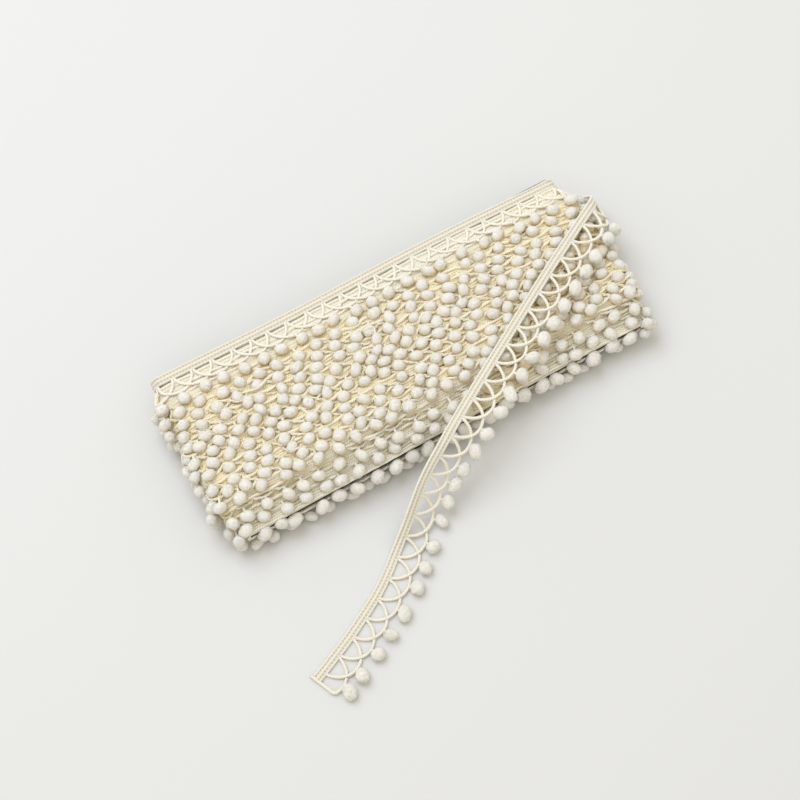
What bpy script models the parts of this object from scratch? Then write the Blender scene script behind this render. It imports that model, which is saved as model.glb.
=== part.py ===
"""Pompom fringe trim, wound flat round a thin card, with its loose end drawn across the top to the floor.

Metres, +Z up. X runs along the laps. The trim's heading is its +Y edge and its pompoms hang from its -Y
edge. The origin is on the floor, under the middle of the wound laps.
"""

import math

import bmesh
import bpy
import numpy as np
from mathutils import Matrix, Vector

MM = 0.001

# ---------------------------------------------------------------- the trim, across its width
CLOTH = 1.2 * MM  # thickness of the heading and net
HEADING = 4.5 * MM  # woven heading tape
HOLE_FOOT = 9.5 * MM  # far side of the net's half-round holes
WOUND_NET_EDGE = 13.2 * MM  # net of the last lap, up to its row of pompoms
LOOSE_NET_EDGE = 11.5 * MM  # net of the loose end, up to its edge strand
EDGE_STRAND = (11.8 * MM, 15.0 * MM)  # the loose end's edge strand
POMPOM_LINE = 16.3 * MM  # pompom centres of the loose end
POMPOM_LIFT = 2.6 * MM  # and their height over the cloth's middle
POMPOM_RADIUS = 3.2 * MM
BAR_HALF = 0.9 * MM  # half of the bar between two holes
HOLE_FOOT_SPAN = 0.36  # foot of a hole, as a share of the pitch
GAP = 0.3 * MM  # air left between neighbouring pieces

# ---------------------------------------------------------------- the card
CARD_LENGTH = 193.0 * MM
CARD_FRONT = -38.6 * MM
CARD_BACK = 42.4 * MM
CARD_THICK = 1.2 * MM
CARD_FLOOR = 9.4 * MM  # height of its underside

# ---------------------------------------------------------------- the wound laps
LAPS = 14
LAST_LAP_Y = 26.0 * MM  # pompom row of the last lap
LAP_STEP = 4.56 * MM  # each lap lies this far behind the one before
FRONT_LAPS = 2
FRONT_GAP = 2.6 * MM  # wider step behind the front laps
FIRST_TOP = 12.0 * MM  # top of the first lap's net over the card
LAYER = 1.0 * MM  # each lap below raises the next by this much
LAYERS_MOST = 3
LAP_FACE = 2.2 * MM  # a lap's front edge, ahead of its pompom row
FIRST_FACE = 1.5 * MM  # and the first lap's
HEM = 0.25 * MM  # a lap's back edge, ahead of the next one's front edge
LAP_SLOPE = 0.9 * MM  # a lap sinks by this much before the next covers it
END_REACH = 100.0 * MM  # half-length over the end loops of the first lap
END_LAYER = 0.35 * MM  # and what each lap below adds
LOOP_RADIUS = 5.0 * MM
LOOP_MOST = 0.45  # and at most this share of the loop's height
TOP_STATIONS = 9
LOOP_STEPS = 3
CROWN = 0.6 * MM
WANDER = 0.45 * MM
WANDER_LENGTH = 150.0 * MM
SLOT_DEPTH = 160.0 * MM  # the card's slot is cut through the laps from front to back
# Where the laps thin out behind the last row, towards the card's back edge.
BACK_SECTIONS = (
    {"y": 30.0 * MM, "top": 14.2 * MM, "bottom": 0.8 * MM, "reach": 100.0 * MM},
    {"y": 36.5 * MM, "top": 12.2 * MM, "bottom": 6.5 * MM, "reach": 98.4 * MM},
)

# ---------------------------------------------------------------- rows of pompoms on the laps
ROW_POMPOMS = 18
ROW_PITCH = 12.0 * MM
ROW_STAGGER = 3.0 * MM
ROW_STRAND = 2.4 * MM  # width of the strand under a row
ROW_END = 108.0 * MM  # half-length of the strand round both ends
STRAND_THICK = 1.2 * MM
ROOT_SINK = 0.7 * MM  # a pompom's root sits this deep in its strand
ROW_UNEVEN = 0.4 * MM
UNEVEN_FAST = {"along": 2.4, "rows": 1.7}  # waves of the unevenness, in radians a pompom and a row
UNEVEN_SLOW = {"along": 1.3, "rows": -0.9}
ROW_SPIN = 2.1  # a pompom is turned this much further than its neighbour, in radians

# Underside lap, whose pompoms peep out under the card's front edge.
UNDER_STRAND_Y = -38.0 * MM
UNDER_STRAND_Z = 3.4 * MM
UNDER_STRAND_THICK = 1.0 * MM
UNDER_STRAND_END = 99.4 * MM
UNDER_PITCH = 11.4 * MM
UNDER_STATIONS = 5
UNDER_RISE = 0.5 * ROW_UNEVEN  # some stand up to this much higher
UNDER_SPIN = 1.3

# ---------------------------------------------------------------- heading and net of the last lap
LAST_HEADING = {"y": 42.0 * MM, "z": 11.9 * MM, "reach": 98.8 * MM, "radius": 1.6 * MM}
LAST_NET = {"y": 29.2 * MM, "z": 16.1 * MM, "reach": 101.9 * MM, "radius": 6.0 * MM}
LAST_LAP_CELLS = 16
LAST_LAP_HALF = 96.0 * MM  # half of the run that the cells take

# ---------------------------------------------------------------- the loose end
LOOSE_TOP = 23.1 * MM  # middle of its cloth where it lies on the pompoms
LOOSE_END_CENTRE = 96.0 * MM  # it bends down round the right end behind this x
FALL_START = -41.0 * MM  # it leaves the hank's front edge here
FALL_END = -74.0 * MM  # and lies on the floor from here
FALL_SAMPLES = 200
LOOSE_POMPOMS = 26
LOOSE_FIRST = 14.6 * MM  # first pompom, along the heading's edge from the hidden end
LOOSE_TIP = 4.0 * MM  # plain cloth after the last pompom
LOOSE_SPIN = 1.9
CUT_END = 0.1 * MM  # the cloth ends this far before the route does
STRIP_BEYOND = 0.47  # an edge strip goes this share of a pitch past its outer pompoms
STRIP_END = 0.5 * MM  # and ends at least this far before the route does
# Route of the heading's outer edge, from the right end to the cut end on the floor, seen from above.
LOOSE_ROUTE = (
    {"x": 114.0 * MM, "y": 25.6 * MM},
    {"x": 98.5 * MM, "y": 16.8 * MM},
    {"x": 70.6 * MM, "y": 1.8 * MM},
    {"x": 34.9 * MM, "y": -18.4 * MM},
    {"x": 10.7 * MM, "y": -32.3 * MM},
    {"x": -8.9 * MM, "y": -44.1 * MM},
    {"x": -23.3 * MM, "y": -52.7 * MM},
    {"x": -39.8 * MM, "y": -65.0 * MM},
    {"x": -58.0 * MM, "y": -78.9 * MM},
    {"x": -74.3 * MM, "y": -88.3 * MM},
    {"x": -87.0 * MM, "y": -94.4 * MM},
    {"x": -101.0 * MM, "y": -100.4 * MM},
)
ROUTE_SAMPLES = 40
ROUTE_STEP = 0.5 * MM  # its direction is taken over this much to either side
# The loose end's edge strand is three strips: on the hank, falling, and on the floor.
LOOSE_FRINGES = (
    {"name": "loose_end_fringe_top", "first": 0, "last": 12},
    {"name": "loose_end_fringe_fall", "first": 13, "last": 17},
    {"name": "loose_end_fringe_floor", "first": 18, "last": 25},
)

COTTON = {"name": "cream_cotton_cord", "colour": (0.84, 0.74, 0.52), "roughness": 0.9}
TUFT = {"name": "cream_cotton_pompom", "colour": (0.87, 0.84, 0.76), "roughness": 0.95}
BOARD = {"name": "pale_board", "colour": (0.62, 0.58, 0.48), "roughness": 0.85}


# ---------------------------------------------------------------- scene helpers


def clear_scene():
    for obj in list(bpy.data.objects):
        bpy.data.objects.remove(obj, do_unlink=True)


def new_collection(name):
    collection = bpy.data.collections.new(name)
    bpy.context.scene.collection.children.link(collection)
    return collection


def new_material(spec, node_name):
    material = bpy.data.materials.new(f"{spec['name']}_{node_name}")
    material.use_nodes = True
    shader = material.node_tree.nodes["Principled BSDF"]
    shader.inputs["Base Color"].default_value = (*spec["colour"], 1.0)
    shader.inputs["Roughness"].default_value = spec["roughness"]
    shader.inputs["Metallic"].default_value = 0.0
    return material


def new_object(name, mesh, collection, finish=None):
    obj = bpy.data.objects.new(name, mesh)
    collection.objects.link(obj)
    if finish:
        mesh.materials.append(new_material(finish, name))
    return obj


def as_guide(obj):
    obj.hide_render = True
    obj.display_type = "WIRE"


def join_with(obj, other, operation):
    modifier = obj.modifiers.new(operation.lower(), "BOOLEAN")
    modifier.operation = operation
    modifier.object = other
    modifier.solver = "EXACT"


def give_thickness(obj, thickness):
    solidify = obj.modifiers.new("thickness", "SOLIDIFY")
    solidify.thickness = thickness
    solidify.offset = 0.0
    solidify.use_even_offset = True


def block(name, low, high, collection, finish=None):
    """A box between two corners."""
    form = bmesh.new()
    bmesh.ops.create_cube(form, size=1.0)
    size = Vector(high) - Vector(low)
    middle = (Vector(high) + Vector(low)) / 2
    place = Matrix.Translation(middle) @ Matrix.Diagonal((*size, 1.0))
    bmesh.ops.transform(form, matrix=place, verts=form.verts)
    mesh = bpy.data.meshes.new(name)
    form.to_mesh(mesh)
    form.free()
    return new_object(name, mesh, collection, finish)


# ---------------------------------------------------------------- shape of the wound laps


def crown(x):
    """The laps rise a little towards the middle of their length."""
    return CROWN * (1 - (x / END_REACH) ** 2)


def wander(x):
    """The laps stray a little to and fro along their length."""
    return WANDER * math.sin(2 * math.pi * x / WANDER_LENGTH)


def uneven(row, place):
    """A small share, from -1 to 1, that differs from pompom to pompom."""
    fast = UNEVEN_FAST["along"] * place + UNEVEN_FAST["rows"] * row
    slow = UNEVEN_SLOW["along"] * place + UNEVEN_SLOW["rows"] * row
    return math.sin(fast) * math.cos(slow)


def lap_y(lap):
    front = FRONT_GAP if lap < FRONT_LAPS else 0.0
    return LAST_LAP_Y - LAP_STEP * (LAPS - 1 - lap) - front


def lap_top(lap):
    return FIRST_TOP + LAYER * min(lap, LAYERS_MOST)


def lap_reach(lap):
    return END_REACH + END_LAYER * min(lap, LAYERS_MOST)


def loop_section(y, top, bottom, reach, stray):
    """One closed round of a lap, at one y: along the top, down the right end, and back underneath."""
    radius = min(LOOP_RADIUS, LOOP_MOST * (top - bottom))
    quarter = [math.pi / 2 * step / LOOP_STEPS for step in range(LOOP_STEPS + 1)]
    straight = np.linspace(-(reach - radius), reach - radius, TOP_STATIONS)
    points = [(x, y + stray * wander(x), top + crown(x)) for x in straight]
    side = reach - radius
    points += [(side + radius * math.sin(a), y, top - radius + radius * math.cos(a)) for a in quarter[1:]]
    points += [(side + radius * math.cos(a), y, bottom + radius - radius * math.sin(a)) for a in quarter]
    points += [(-side - radius * math.sin(a), y, bottom + radius - radius * math.cos(a)) for a in quarter]
    points += [(-side - radius * math.cos(a), y, top - radius + radius * math.sin(a)) for a in quarter[:-1]]
    return points


def lap_sections():
    """Front and back edge of each lap in turn, then the slope down to the card's back edge."""
    sections = []
    for lap in range(LAPS):
        top, reach = lap_top(lap), lap_reach(lap)
        face = FIRST_FACE if lap == 0 else LAP_FACE
        stray = 0.0 if lap == 0 else 1.0
        sections.append(loop_section(lap_y(lap) - face, top, 0.0, reach, stray))
        if lap + 1 < LAPS:
            hem = lap_y(lap + 1) - LAP_FACE - HEM
            sections.append(loop_section(hem, top - LAP_SLOPE, 0.0, reach, 1.0))
    for row in BACK_SECTIONS:
        sections.append(loop_section(row["y"], row["top"], row["bottom"], row["reach"], 0.0))
    return sections


def wound_laps(parts, guides):
    """All laps as one solid: a lofted body with a step for each lap, and the card's slot through it."""
    form = bmesh.new()
    rings = [[form.verts.new(point) for point in section] for section in lap_sections()]
    count = len(rings[0])
    for ring, after in zip(rings, rings[1:]):
        for i in range(count):
            j = (i + 1) % count
            form.faces.new((ring[i], ring[j], after[j], after[i]))
    form.faces.new(rings[0])
    form.faces.new(rings[-1])
    bmesh.ops.recalc_face_normals(form, faces=form.faces)
    mesh = bpy.data.meshes.new("wound_laps")
    form.to_mesh(mesh)
    form.free()
    laps = new_object("wound_laps", mesh, parts, COTTON)
    half = CARD_LENGTH / 2 + GAP
    slot = block(
        "card_slot",
        (-half, -SLOT_DEPTH / 2, CARD_FLOOR - GAP),
        (half, SLOT_DEPTH / 2, CARD_FLOOR + CARD_THICK + GAP),
        guides,
    )
    as_guide(slot)
    join_with(laps, slot, "DIFFERENCE")
    return laps


def winding_card(parts):
    half = CARD_LENGTH / 2
    low = (-half, CARD_FRONT, CARD_FLOOR)
    high = (half, CARD_BACK, CARD_FLOOR + CARD_THICK)
    return block("winding_card", low, high, parts, BOARD)


# ---------------------------------------------------------------- strands with pompoms


def pompom_cluster(name, seats, guides):
    """Low pompoms, each a small faceted ball with one corner pointing at its root."""
    form = bmesh.new()
    for centre, outward, turn in seats:
        aim = Vector((0, 0, 1)).rotation_difference(Vector(outward)).to_matrix().to_4x4()
        place = Matrix.Translation(centre) @ aim @ Matrix.Rotation(turn, 4, "Z")
        bmesh.ops.create_icosphere(form, subdivisions=1, radius=POMPOM_RADIUS, matrix=place)
    mesh = bpy.data.meshes.new(name)
    form.to_mesh(mesh)
    form.free()
    cluster = new_object(name, mesh, guides)
    as_guide(cluster)
    return cluster


def strand(name, left, right, thickness, parts):
    """A narrow flat strand between two lines of points."""
    form = bmesh.new()
    rows = [[form.verts.new(point) for point in line] for line in (left, right)]
    for i in range(len(rows[0]) - 1):
        form.faces.new((rows[0][i], rows[0][i + 1], rows[1][i + 1], rows[1][i]))
    mesh = bpy.data.meshes.new(name)
    form.to_mesh(mesh)
    form.free()
    obj = new_object(name, mesh, parts, TUFT)
    give_thickness(obj, thickness)
    return obj


def over_the_end(run, reach, top, radius, lift):
    """A point and its outward normal, run along the top of a lap and down round an end loop."""
    side = reach - radius
    way = math.copysign(1.0, run)
    along = abs(run)
    bend = radius * math.pi / 2
    if along <= side:
        return Vector((run, 0, top + crown(run) + lift)), Vector((0, 0, 1))
    if along <= side + bend:
        angle = (along - side) / radius
        normal = Vector((way * math.sin(angle), 0, math.cos(angle)))
        return Vector((way * side, 0, top - radius)) + normal * (radius + lift), normal
    drop = along - side - bend
    return Vector((way * (reach + lift), 0, top - radius - drop)), Vector((way, 0, 0))


def row_stations(reach, radius):
    side = reach - radius
    bends = [side + radius * math.pi / 2 * step / LOOP_STEPS for step in range(1, LOOP_STEPS + 1)]
    half = [*bends, ROW_END]
    return [*(-s for s in reversed(half)), *np.linspace(-side, side, TOP_STATIONS), *half]


def lap_row(lap, parts, guides):
    """The pompom edge of one lap: its strand over the top and round both ends, with its pompoms."""
    name = f"lap_{lap + 1:02d}_fringe"
    top, reach, y = lap_top(lap), lap_reach(lap), lap_y(lap)
    middle = GAP + STRAND_THICK / 2
    lines = ([], [])
    for run in row_stations(reach, LOOP_RADIUS):
        point, _ = over_the_end(run, reach, top, LOOP_RADIUS, middle)
        stray = wander(point.x) if lap and abs(point.x) < reach - LOOP_RADIUS else 0.0
        for line, side in zip(lines, (1, -1)):
            line.append((point.x, y + stray + side * ROW_STRAND / 2, point.z))
    shift = ROW_STAGGER if lap % 2 else -ROW_STAGGER
    lift = GAP + STRAND_THICK - ROOT_SINK + POMPOM_RADIUS
    seats = []
    for place in range(ROW_POMPOMS):
        run = (place - (ROW_POMPOMS - 1) / 2) * ROW_PITCH + shift + ROW_UNEVEN * uneven(lap, place)
        point, normal = over_the_end(run, reach, top, LOOP_RADIUS, lift)
        point.y = y + (wander(point.x) if lap and abs(point.x) < reach - LOOP_RADIUS else 0.0)
        seats.append((point, normal, ROW_SPIN * place + lap))
    row = strand(name, *lines, STRAND_THICK, parts)
    join_with(row, pompom_cluster(f"{name}_pompoms", seats, guides), "UNION")
    return row


def underside_row(parts, guides):
    """The front lap's pompoms under the card, standing on the floor before the laps."""
    name = "underside_fringe"
    stations = np.linspace(-UNDER_STRAND_END, UNDER_STRAND_END, UNDER_STATIONS)
    upper = [(x, UNDER_STRAND_Y, UNDER_STRAND_Z + ROW_STRAND / 2) for x in stations]
    lower = [(x, UNDER_STRAND_Y, UNDER_STRAND_Z - ROW_STRAND / 2) for x in stations]
    reach = UNDER_STRAND_Y - UNDER_STRAND_THICK / 2 + ROOT_SINK - POMPOM_RADIUS
    seats = []
    for place in range(ROW_POMPOMS):
        x = (place - (ROW_POMPOMS - 1) / 2) * UNDER_PITCH + ROW_UNEVEN * uneven(LAPS, place)
        height = UNDER_STRAND_Z + UNDER_RISE * abs(uneven(place, LAPS))
        seats.append((Vector((x, reach, height)), Vector((0, -1, 0)), UNDER_SPIN * place))
    row = strand(name, upper, lower, UNDER_STRAND_THICK, parts)
    join_with(row, pompom_cluster(f"{name}_pompoms", seats, guides), "UNION")
    return row


# ---------------------------------------------------------------- heading and net


def net_cloth(name, at, starts, pitch, edge, flaps, parts):
    """Heading tape and net as one cloth: one half-round hole a cell, and plain cloth at the flaps.

    at(run, across) gives the cloth's place, starts are the cells' first edges, and flaps are the runs
    before and after them."""
    form = bmesh.new()

    def corner(run, across):
        return form.verts.new(at(run, across))

    def rung(run):
        return [corner(run, across) for across in (0.0, HEADING, HOLE_FOOT, edge)]

    def plain(a, b):
        for i in range(3):
            form.faces.new((a[i], b[i], b[i + 1], a[i + 1]))

    before, after = flaps
    rungs = [rung(run) for run in before]
    for a, b in zip(rungs, rungs[1:]):
        plain(a, b)
    now = rung(starts[0])
    if rungs:
        plain(rungs[-1], now)
    for start in starts:
        onward = rung(start + pitch)
        half = start + pitch / 2
        foot = pitch * HOLE_FOOT_SPAN / 2
        rim = corner(half, 0.0)
        hem = corner(half, edge)
        head_a, head_b = corner(start + BAR_HALF, HEADING), corner(start + pitch - BAR_HALF, HEADING)
        foot_a, foot_b = corner(half - foot, HOLE_FOOT), corner(half + foot, HOLE_FOOT)
        form.faces.new((now[0], rim, onward[0], onward[1], head_b, head_a, now[1]))
        form.faces.new((now[1], head_a, foot_a, now[2]))
        form.faces.new((head_b, onward[1], onward[2], foot_b))
        form.faces.new((now[2], foot_a, foot_b, onward[2], onward[3], hem, now[3]))
        now = onward
    for run in after:
        onward = rung(run)
        plain(now, onward)
        now = onward
    bmesh.ops.triangulate(form, faces=form.faces)
    mesh = bpy.data.meshes.new(name)
    form.to_mesh(mesh)
    form.free()
    cloth = new_object(name, mesh, parts, COTTON)
    give_thickness(cloth, CLOTH)
    return cloth


def last_lap_heading(parts):
    """The whole heading and net of the last lap, sloping down to the card's back edge."""

    def at(run, across):
        share = across / WOUND_NET_EDGE
        rim = {key: LAST_HEADING[key] * (1 - share) + LAST_NET[key] * share for key in LAST_HEADING}
        side = rim["reach"] - rim["radius"]
        straight = abs(run) / LAST_LAP_HALF
        if straight <= 1:
            x = run / LAST_LAP_HALF * side
            return x, rim["y"], rim["z"] + crown(x)
        angle = (straight - 1) * math.pi / 2
        way = math.copysign(1.0, run)
        z = rim["z"] - rim["radius"] * (1 - math.cos(angle))
        return way * (side + rim["radius"] * math.sin(angle)), rim["y"], z

    pitch = 2 * LAST_LAP_HALF / LAST_LAP_CELLS
    starts = [-LAST_LAP_HALF + pitch * i for i in range(LAST_LAP_CELLS)]
    bend = [LAST_LAP_HALF * (1 + step / LOOP_STEPS) for step in range(1, LOOP_STEPS + 1)]
    flaps = ([-run for run in reversed(bend)], bend)
    return net_cloth("last_lap_heading", at, starts, pitch, WOUND_NET_EDGE, flaps, parts)


# ---------------------------------------------------------------- the loose end


def smooth(share):
    share = np.clip(share, 0.0, 1.0)
    return share * share * (3 - 2 * share)


def fall_height(y):
    """Height of the loose end's cloth, as a share of its height on the hank."""
    return smooth((y - FALL_END) / (FALL_START - FALL_END))


FLOOR_MIDDLE = CLOTH / 2
FALL_Y = np.linspace(FALL_START, FALL_END, FALL_SAMPLES)
FALL_Z = FLOOR_MIDDLE + (LOOSE_TOP - FLOOR_MIDDLE) * fall_height(FALL_Y)
FALL_RUN = np.concatenate(([0.0], np.cumsum(np.hypot(np.diff(FALL_Y), np.diff(FALL_Z)))))


def flat_from_y(y):
    """Distance over the cloth, forward from the top of the fall, of a place at y."""
    if y >= FALL_START:
        return FALL_START - y
    if y <= FALL_END:
        return FALL_RUN[-1] + FALL_END - y
    return float(np.interp(-y, -FALL_Y, FALL_RUN))


def lay(v, u, lift=0.0):
    """Place of a point of the flat cloth once it is laid: v runs along X and bends down round the right
    end, u runs forward and falls from the hank's front edge to the floor. No length changes."""
    if u <= 0:
        y, height, slope = FALL_START - u, LOOSE_TOP, 0.0
    elif u >= FALL_RUN[-1]:
        y, height, slope = FALL_END - (u - FALL_RUN[-1]), FLOOR_MIDDLE, 0.0
    else:
        y = float(np.interp(u, FALL_RUN, FALL_Y))
        height = float(np.interp(u, FALL_RUN, FALL_Z))
        slope = float(np.interp(u, FALL_RUN, np.gradient(FALL_Z, FALL_Y)))
    normal = Vector((0, -slope, 1)).normalized()
    radius = LOOSE_TOP - lap_top(LAPS) + LOOP_RADIUS
    if v > LOOSE_END_CENTRE:
        angle = (v - LOOSE_END_CENTRE) / radius
        normal = Vector((math.sin(angle), 0, math.cos(angle)))
        x = LOOSE_END_CENTRE + radius * normal.x
        height -= radius * (1 - normal.z)
    else:
        x = v
        height += crown(x) * (height - FLOOR_MIDDLE) / (LOOSE_TOP - FLOOR_MIDDLE)
    return Vector((x, y, height)) + normal * lift, normal


def route_points():
    """The route as a smooth curve through its table, in the flat cloth's own plane, evenly spaced."""
    rows = [(row["x"], flat_from_y(row["y"])) for row in LOOSE_ROUTE]
    table = np.array([rows[0], *rows, rows[-1]])
    table[0] = 2 * table[1] - table[2]
    table[-1] = 2 * table[-2] - table[-3]
    t = np.linspace(0, 1, ROUTE_SAMPLES, endpoint=False)[:, None]
    pieces = []
    for a, b, c, d in zip(table, table[1:], table[2:], table[3:]):
        pieces.append(
            0.5 * (2 * b + (c - a) * t + (2 * a - 5 * b + 4 * c - d) * t**2 + (3 * b - a - 3 * c + d) * t**3)
        )
    return np.concatenate([*pieces, table[-2:-1]])


ROUTE = route_points()
ROUTE_RUN = np.concatenate(([0.0], np.cumsum(np.hypot(*np.diff(ROUTE, axis=0).T))))
LOOSE_LENGTH = float(ROUTE_RUN[-1])


def loose_place(run, across, lift=0.0):
    """A point of the loose end, run along its heading's edge and across to its pompom side."""
    flat = np.array([np.interp(run, ROUTE_RUN, ROUTE[:, axis]) for axis in (0, 1)])
    ahead = np.array([np.interp(run + ROUTE_STEP, ROUTE_RUN, ROUTE[:, axis]) for axis in (0, 1)])
    back = np.array([np.interp(run - ROUTE_STEP, ROUTE_RUN, ROUTE[:, axis]) for axis in (0, 1)])
    along = (ahead - back) / np.hypot(*(ahead - back))
    flat = flat + across * np.array([along[1], -along[0]])
    return lay(flat[0], flat[1], lift)


def loose_pitch():
    return (LOOSE_LENGTH - LOOSE_FIRST - LOOSE_TIP) / (LOOSE_POMPOMS - 1)


def loose_end_heading(parts):
    pitch = loose_pitch()
    first = LOOSE_FIRST - pitch / 2
    starts = [first + pitch * i for i in range(LOOSE_POMPOMS - 1)]

    def at(run, across):
        return loose_place(run, across)[0]

    flaps = ([0.0, first / 2], [LOOSE_LENGTH - CUT_END])
    return net_cloth("loose_end_heading", at, starts, pitch, LOOSE_NET_EDGE, flaps, parts)


def loose_end_fringe(row, parts, guides):
    """One strip of the loose end's edge strand, with its pompoms beside it."""
    pitch = loose_pitch()
    begin = LOOSE_FIRST + pitch * (row["first"] - STRIP_BEYOND)
    end = min(LOOSE_FIRST + pitch * (row["last"] + STRIP_BEYOND), LOOSE_LENGTH - STRIP_END)
    runs = np.linspace(begin, end, 2 * (row["last"] - row["first"]) + 3)
    inner = [loose_place(run, EDGE_STRAND[0])[0] for run in runs]
    outer = [loose_place(run, EDGE_STRAND[1])[0] for run in runs]
    seats = []
    for place in range(row["first"], row["last"] + 1):
        centre, normal = loose_place(LOOSE_FIRST + pitch * place, POMPOM_LINE, POMPOM_LIFT)
        seats.append((centre, normal, LOOSE_SPIN * place))
    strip = strand(row["name"], inner, outer, STRAND_THICK, parts)
    join_with(strip, pompom_cluster(f"{row['name']}_pompoms", seats, guides), "UNION")
    return strip


def main():
    clear_scene()
    parts = new_collection("pompom_fringe_trim")
    guides = new_collection("guides")
    winding_card(parts)
    wound_laps(parts, guides)
    for lap in range(LAPS):
        lap_row(lap, parts, guides)
    underside_row(parts, guides)
    last_lap_heading(parts)
    loose_end_heading(parts)
    for row in LOOSE_FRINGES:
        loose_end_fringe(row, parts, guides)


main()
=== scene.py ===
"""Looks of the pompom fringe trim: fourteen laps wound flat round a card, and a loose end drawn across them.

All lengths are in millimetres until a mesh is made, and the frame is the solids' own: +Z up, X along the
laps, the heading on the +Y side of the trim and its pompoms on the -Y side, the floor at z = 0.
"""

import math

import bpy
import numpy as np
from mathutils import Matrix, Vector


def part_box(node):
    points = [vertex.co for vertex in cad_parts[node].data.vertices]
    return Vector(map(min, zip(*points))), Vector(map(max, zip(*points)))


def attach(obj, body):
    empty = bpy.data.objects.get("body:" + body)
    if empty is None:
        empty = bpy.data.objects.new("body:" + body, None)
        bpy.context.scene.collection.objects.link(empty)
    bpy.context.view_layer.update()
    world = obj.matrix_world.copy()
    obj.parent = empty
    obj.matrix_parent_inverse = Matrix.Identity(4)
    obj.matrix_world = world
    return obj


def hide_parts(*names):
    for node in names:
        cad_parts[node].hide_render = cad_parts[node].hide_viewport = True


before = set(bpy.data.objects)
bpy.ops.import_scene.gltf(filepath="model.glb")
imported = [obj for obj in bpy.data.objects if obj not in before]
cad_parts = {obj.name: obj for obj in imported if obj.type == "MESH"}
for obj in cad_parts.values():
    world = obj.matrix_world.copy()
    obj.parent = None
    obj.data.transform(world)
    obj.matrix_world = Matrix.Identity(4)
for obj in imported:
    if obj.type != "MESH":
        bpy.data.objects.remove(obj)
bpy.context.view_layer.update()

MM = 0.001
TURN = 2 * math.pi
rng = np.random.default_rng(41)

# ---------------------------------------------------------------- camera

CAMERA_AZIMUTH = -29.70  # degrees round the object; 0 looks along +Y
CAMERA_ELEVATION = 69.45  # degrees above the horizon
CAMERA_DISTANCE = 777.24
CAMERA_TARGET = (-9.894, -13.198, 0.0)
LENS = 81.0
SENSOR = 36.0
CLIP_START = 10.0


def away(azimuth, elevation):
    """Unit vector from the object towards an azimuth and elevation, both in degrees."""
    a, e = math.radians(azimuth), math.radians(elevation)
    return Vector((math.sin(a) * math.cos(e), -math.cos(a) * math.cos(e), math.sin(e)))


def aim(obj, place, target):
    """Puts an object at a place and turns it to look at the target."""
    obj.location = place
    obj.rotation_euler = (Vector(target) - Vector(place)).to_track_quat("-Z", "Y").to_euler()


camera_data = bpy.data.cameras.new("camera")
camera_data.lens = LENS
camera_data.sensor_width = SENSOR
camera_data.clip_start = CLIP_START * MM
camera = bpy.data.objects.new("camera", camera_data)
bpy.context.scene.collection.objects.link(camera)
target = Vector(CAMERA_TARGET) * MM
aim(camera, target + away(CAMERA_AZIMUTH, CAMERA_ELEVATION) * CAMERA_DISTANCE * MM, target)
bpy.context.scene.camera = camera

# ---------------------------------------------------------------- sizes of the trim, across its width

HEADING = 4.4  # width of the chain-stitched heading tape
HEADING_HALF_THICK = 0.45  # without its chains
CHAIN_OFF = 1.8  # from the tape's middle to each of the raised chains along its edges
CHAIN_HALF = 0.34  # half-width at which a chain's bell curve has fallen to about a third
CHAIN_RISE = 0.5  # how far they stand up
MIDDLE_CHAIN = 0.7  # and the one along its middle, as a share of that
STITCH = 1.5  # length of one chain stitch
STITCH_DIP = 0.22  # share of a chain's rise that is lost between two stitches
STITCH_SLANT = 0.9  # length by which a stitch is ahead for each mm outward
PIT_OFF = 0.93  # from the tape's middle to each of its two lines of needle holes
PIT_HALF = 0.34
PIT_DEEP = 0.3
WOUND_WIDTH = 5.3  # the tape is pressed wider where other laps lie on it
RIDGE = 1.3  # and its yarns lie in ridges this far apart
RIDGE_RISE = 0.5
RIDGE_WAVE = 0.5  # and the tape strays by this much to either side
CORD = 0.62  # radius of the net's cotton cord
LOOSE_CORD = 0.68
PLY_TURN = 2.3  # length in which the cord's two plies go round once
PLY_RELIEF = 0.13  # share of the cord's radius by which they make it swell and narrow
SLACK_PLY = 0.43  # radius of one ply where the cord lies slack in the hank
SLACK_PLY_OFF = 0.36  # from the cord's middle to a ply's
SLACK_PLY_TURN = 5.2
SLACK_PLY_START = 0.37  # share of a turn by which each cord's plies are ahead of its neighbour's
PITCH = 9.0  # from one pompom to the next
SCALLOP_FOOT = 12.7  # how far across a scallop reaches
SCALLOP_ROUND = 0.62  # below 1/2 a scallop is boxy, above it is pointed
WEAVE = 0.42  # height by which crossing cords pass over and under
LEG_START = 3.9  # the net's cords start inside the heading
LEG_GAP = 0.5  # two cords leave a bar side by side
# Slack cords stray by this much along the trim, across it and up, and lie this much higher.
STRAY_ALONG = 0.8
STRAY_ACROSS = 0.9
STRAY_UP = 0.9
SLACK_RISE = 0.5
STRAY_LEAN = 3.1  # length by which the waves of their straying are ahead for each mm across
# Points along each scallop, and how slack it is.
SCALLOPS = {
    "top": {"places": 25, "slack": 1.0},
    "under": {"places": 13, "slack": 1.0},
    "last": {"places": 45, "slack": 0.35},
    "loose": {"places": 49, "slack": 0.3},
}
STEM_END = 0.8  # share of the way to its pompom's centre that a stem goes
STEM_MIDDLE = 0.45  # and at which it bends
STEM_BOW = 0.35
STEM_POINTS = 6
TAPE_STEP = 0.36  # from one section of the tape to the next, where its stitches show
TAPE_POINTS = 19  # over its upper side
PRESSED_STEP = 2.4
PRESSED_POINTS = 18
POMPOM_ACROSS = 16.3
POMPOM_LONG = 3.05  # half-axes of a pompom
POMPOM_SHORT = 2.38
FRONT_SWELL = 1.16  # the pompoms that peep out under the front edge are bigger
FRONT_BELOW = 0.5  # these have their centres this far below the card's middle, or more
LOOSE_SWELL = 1.13

# ---------------------------------------------------------------- the card and the laps round it

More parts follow.
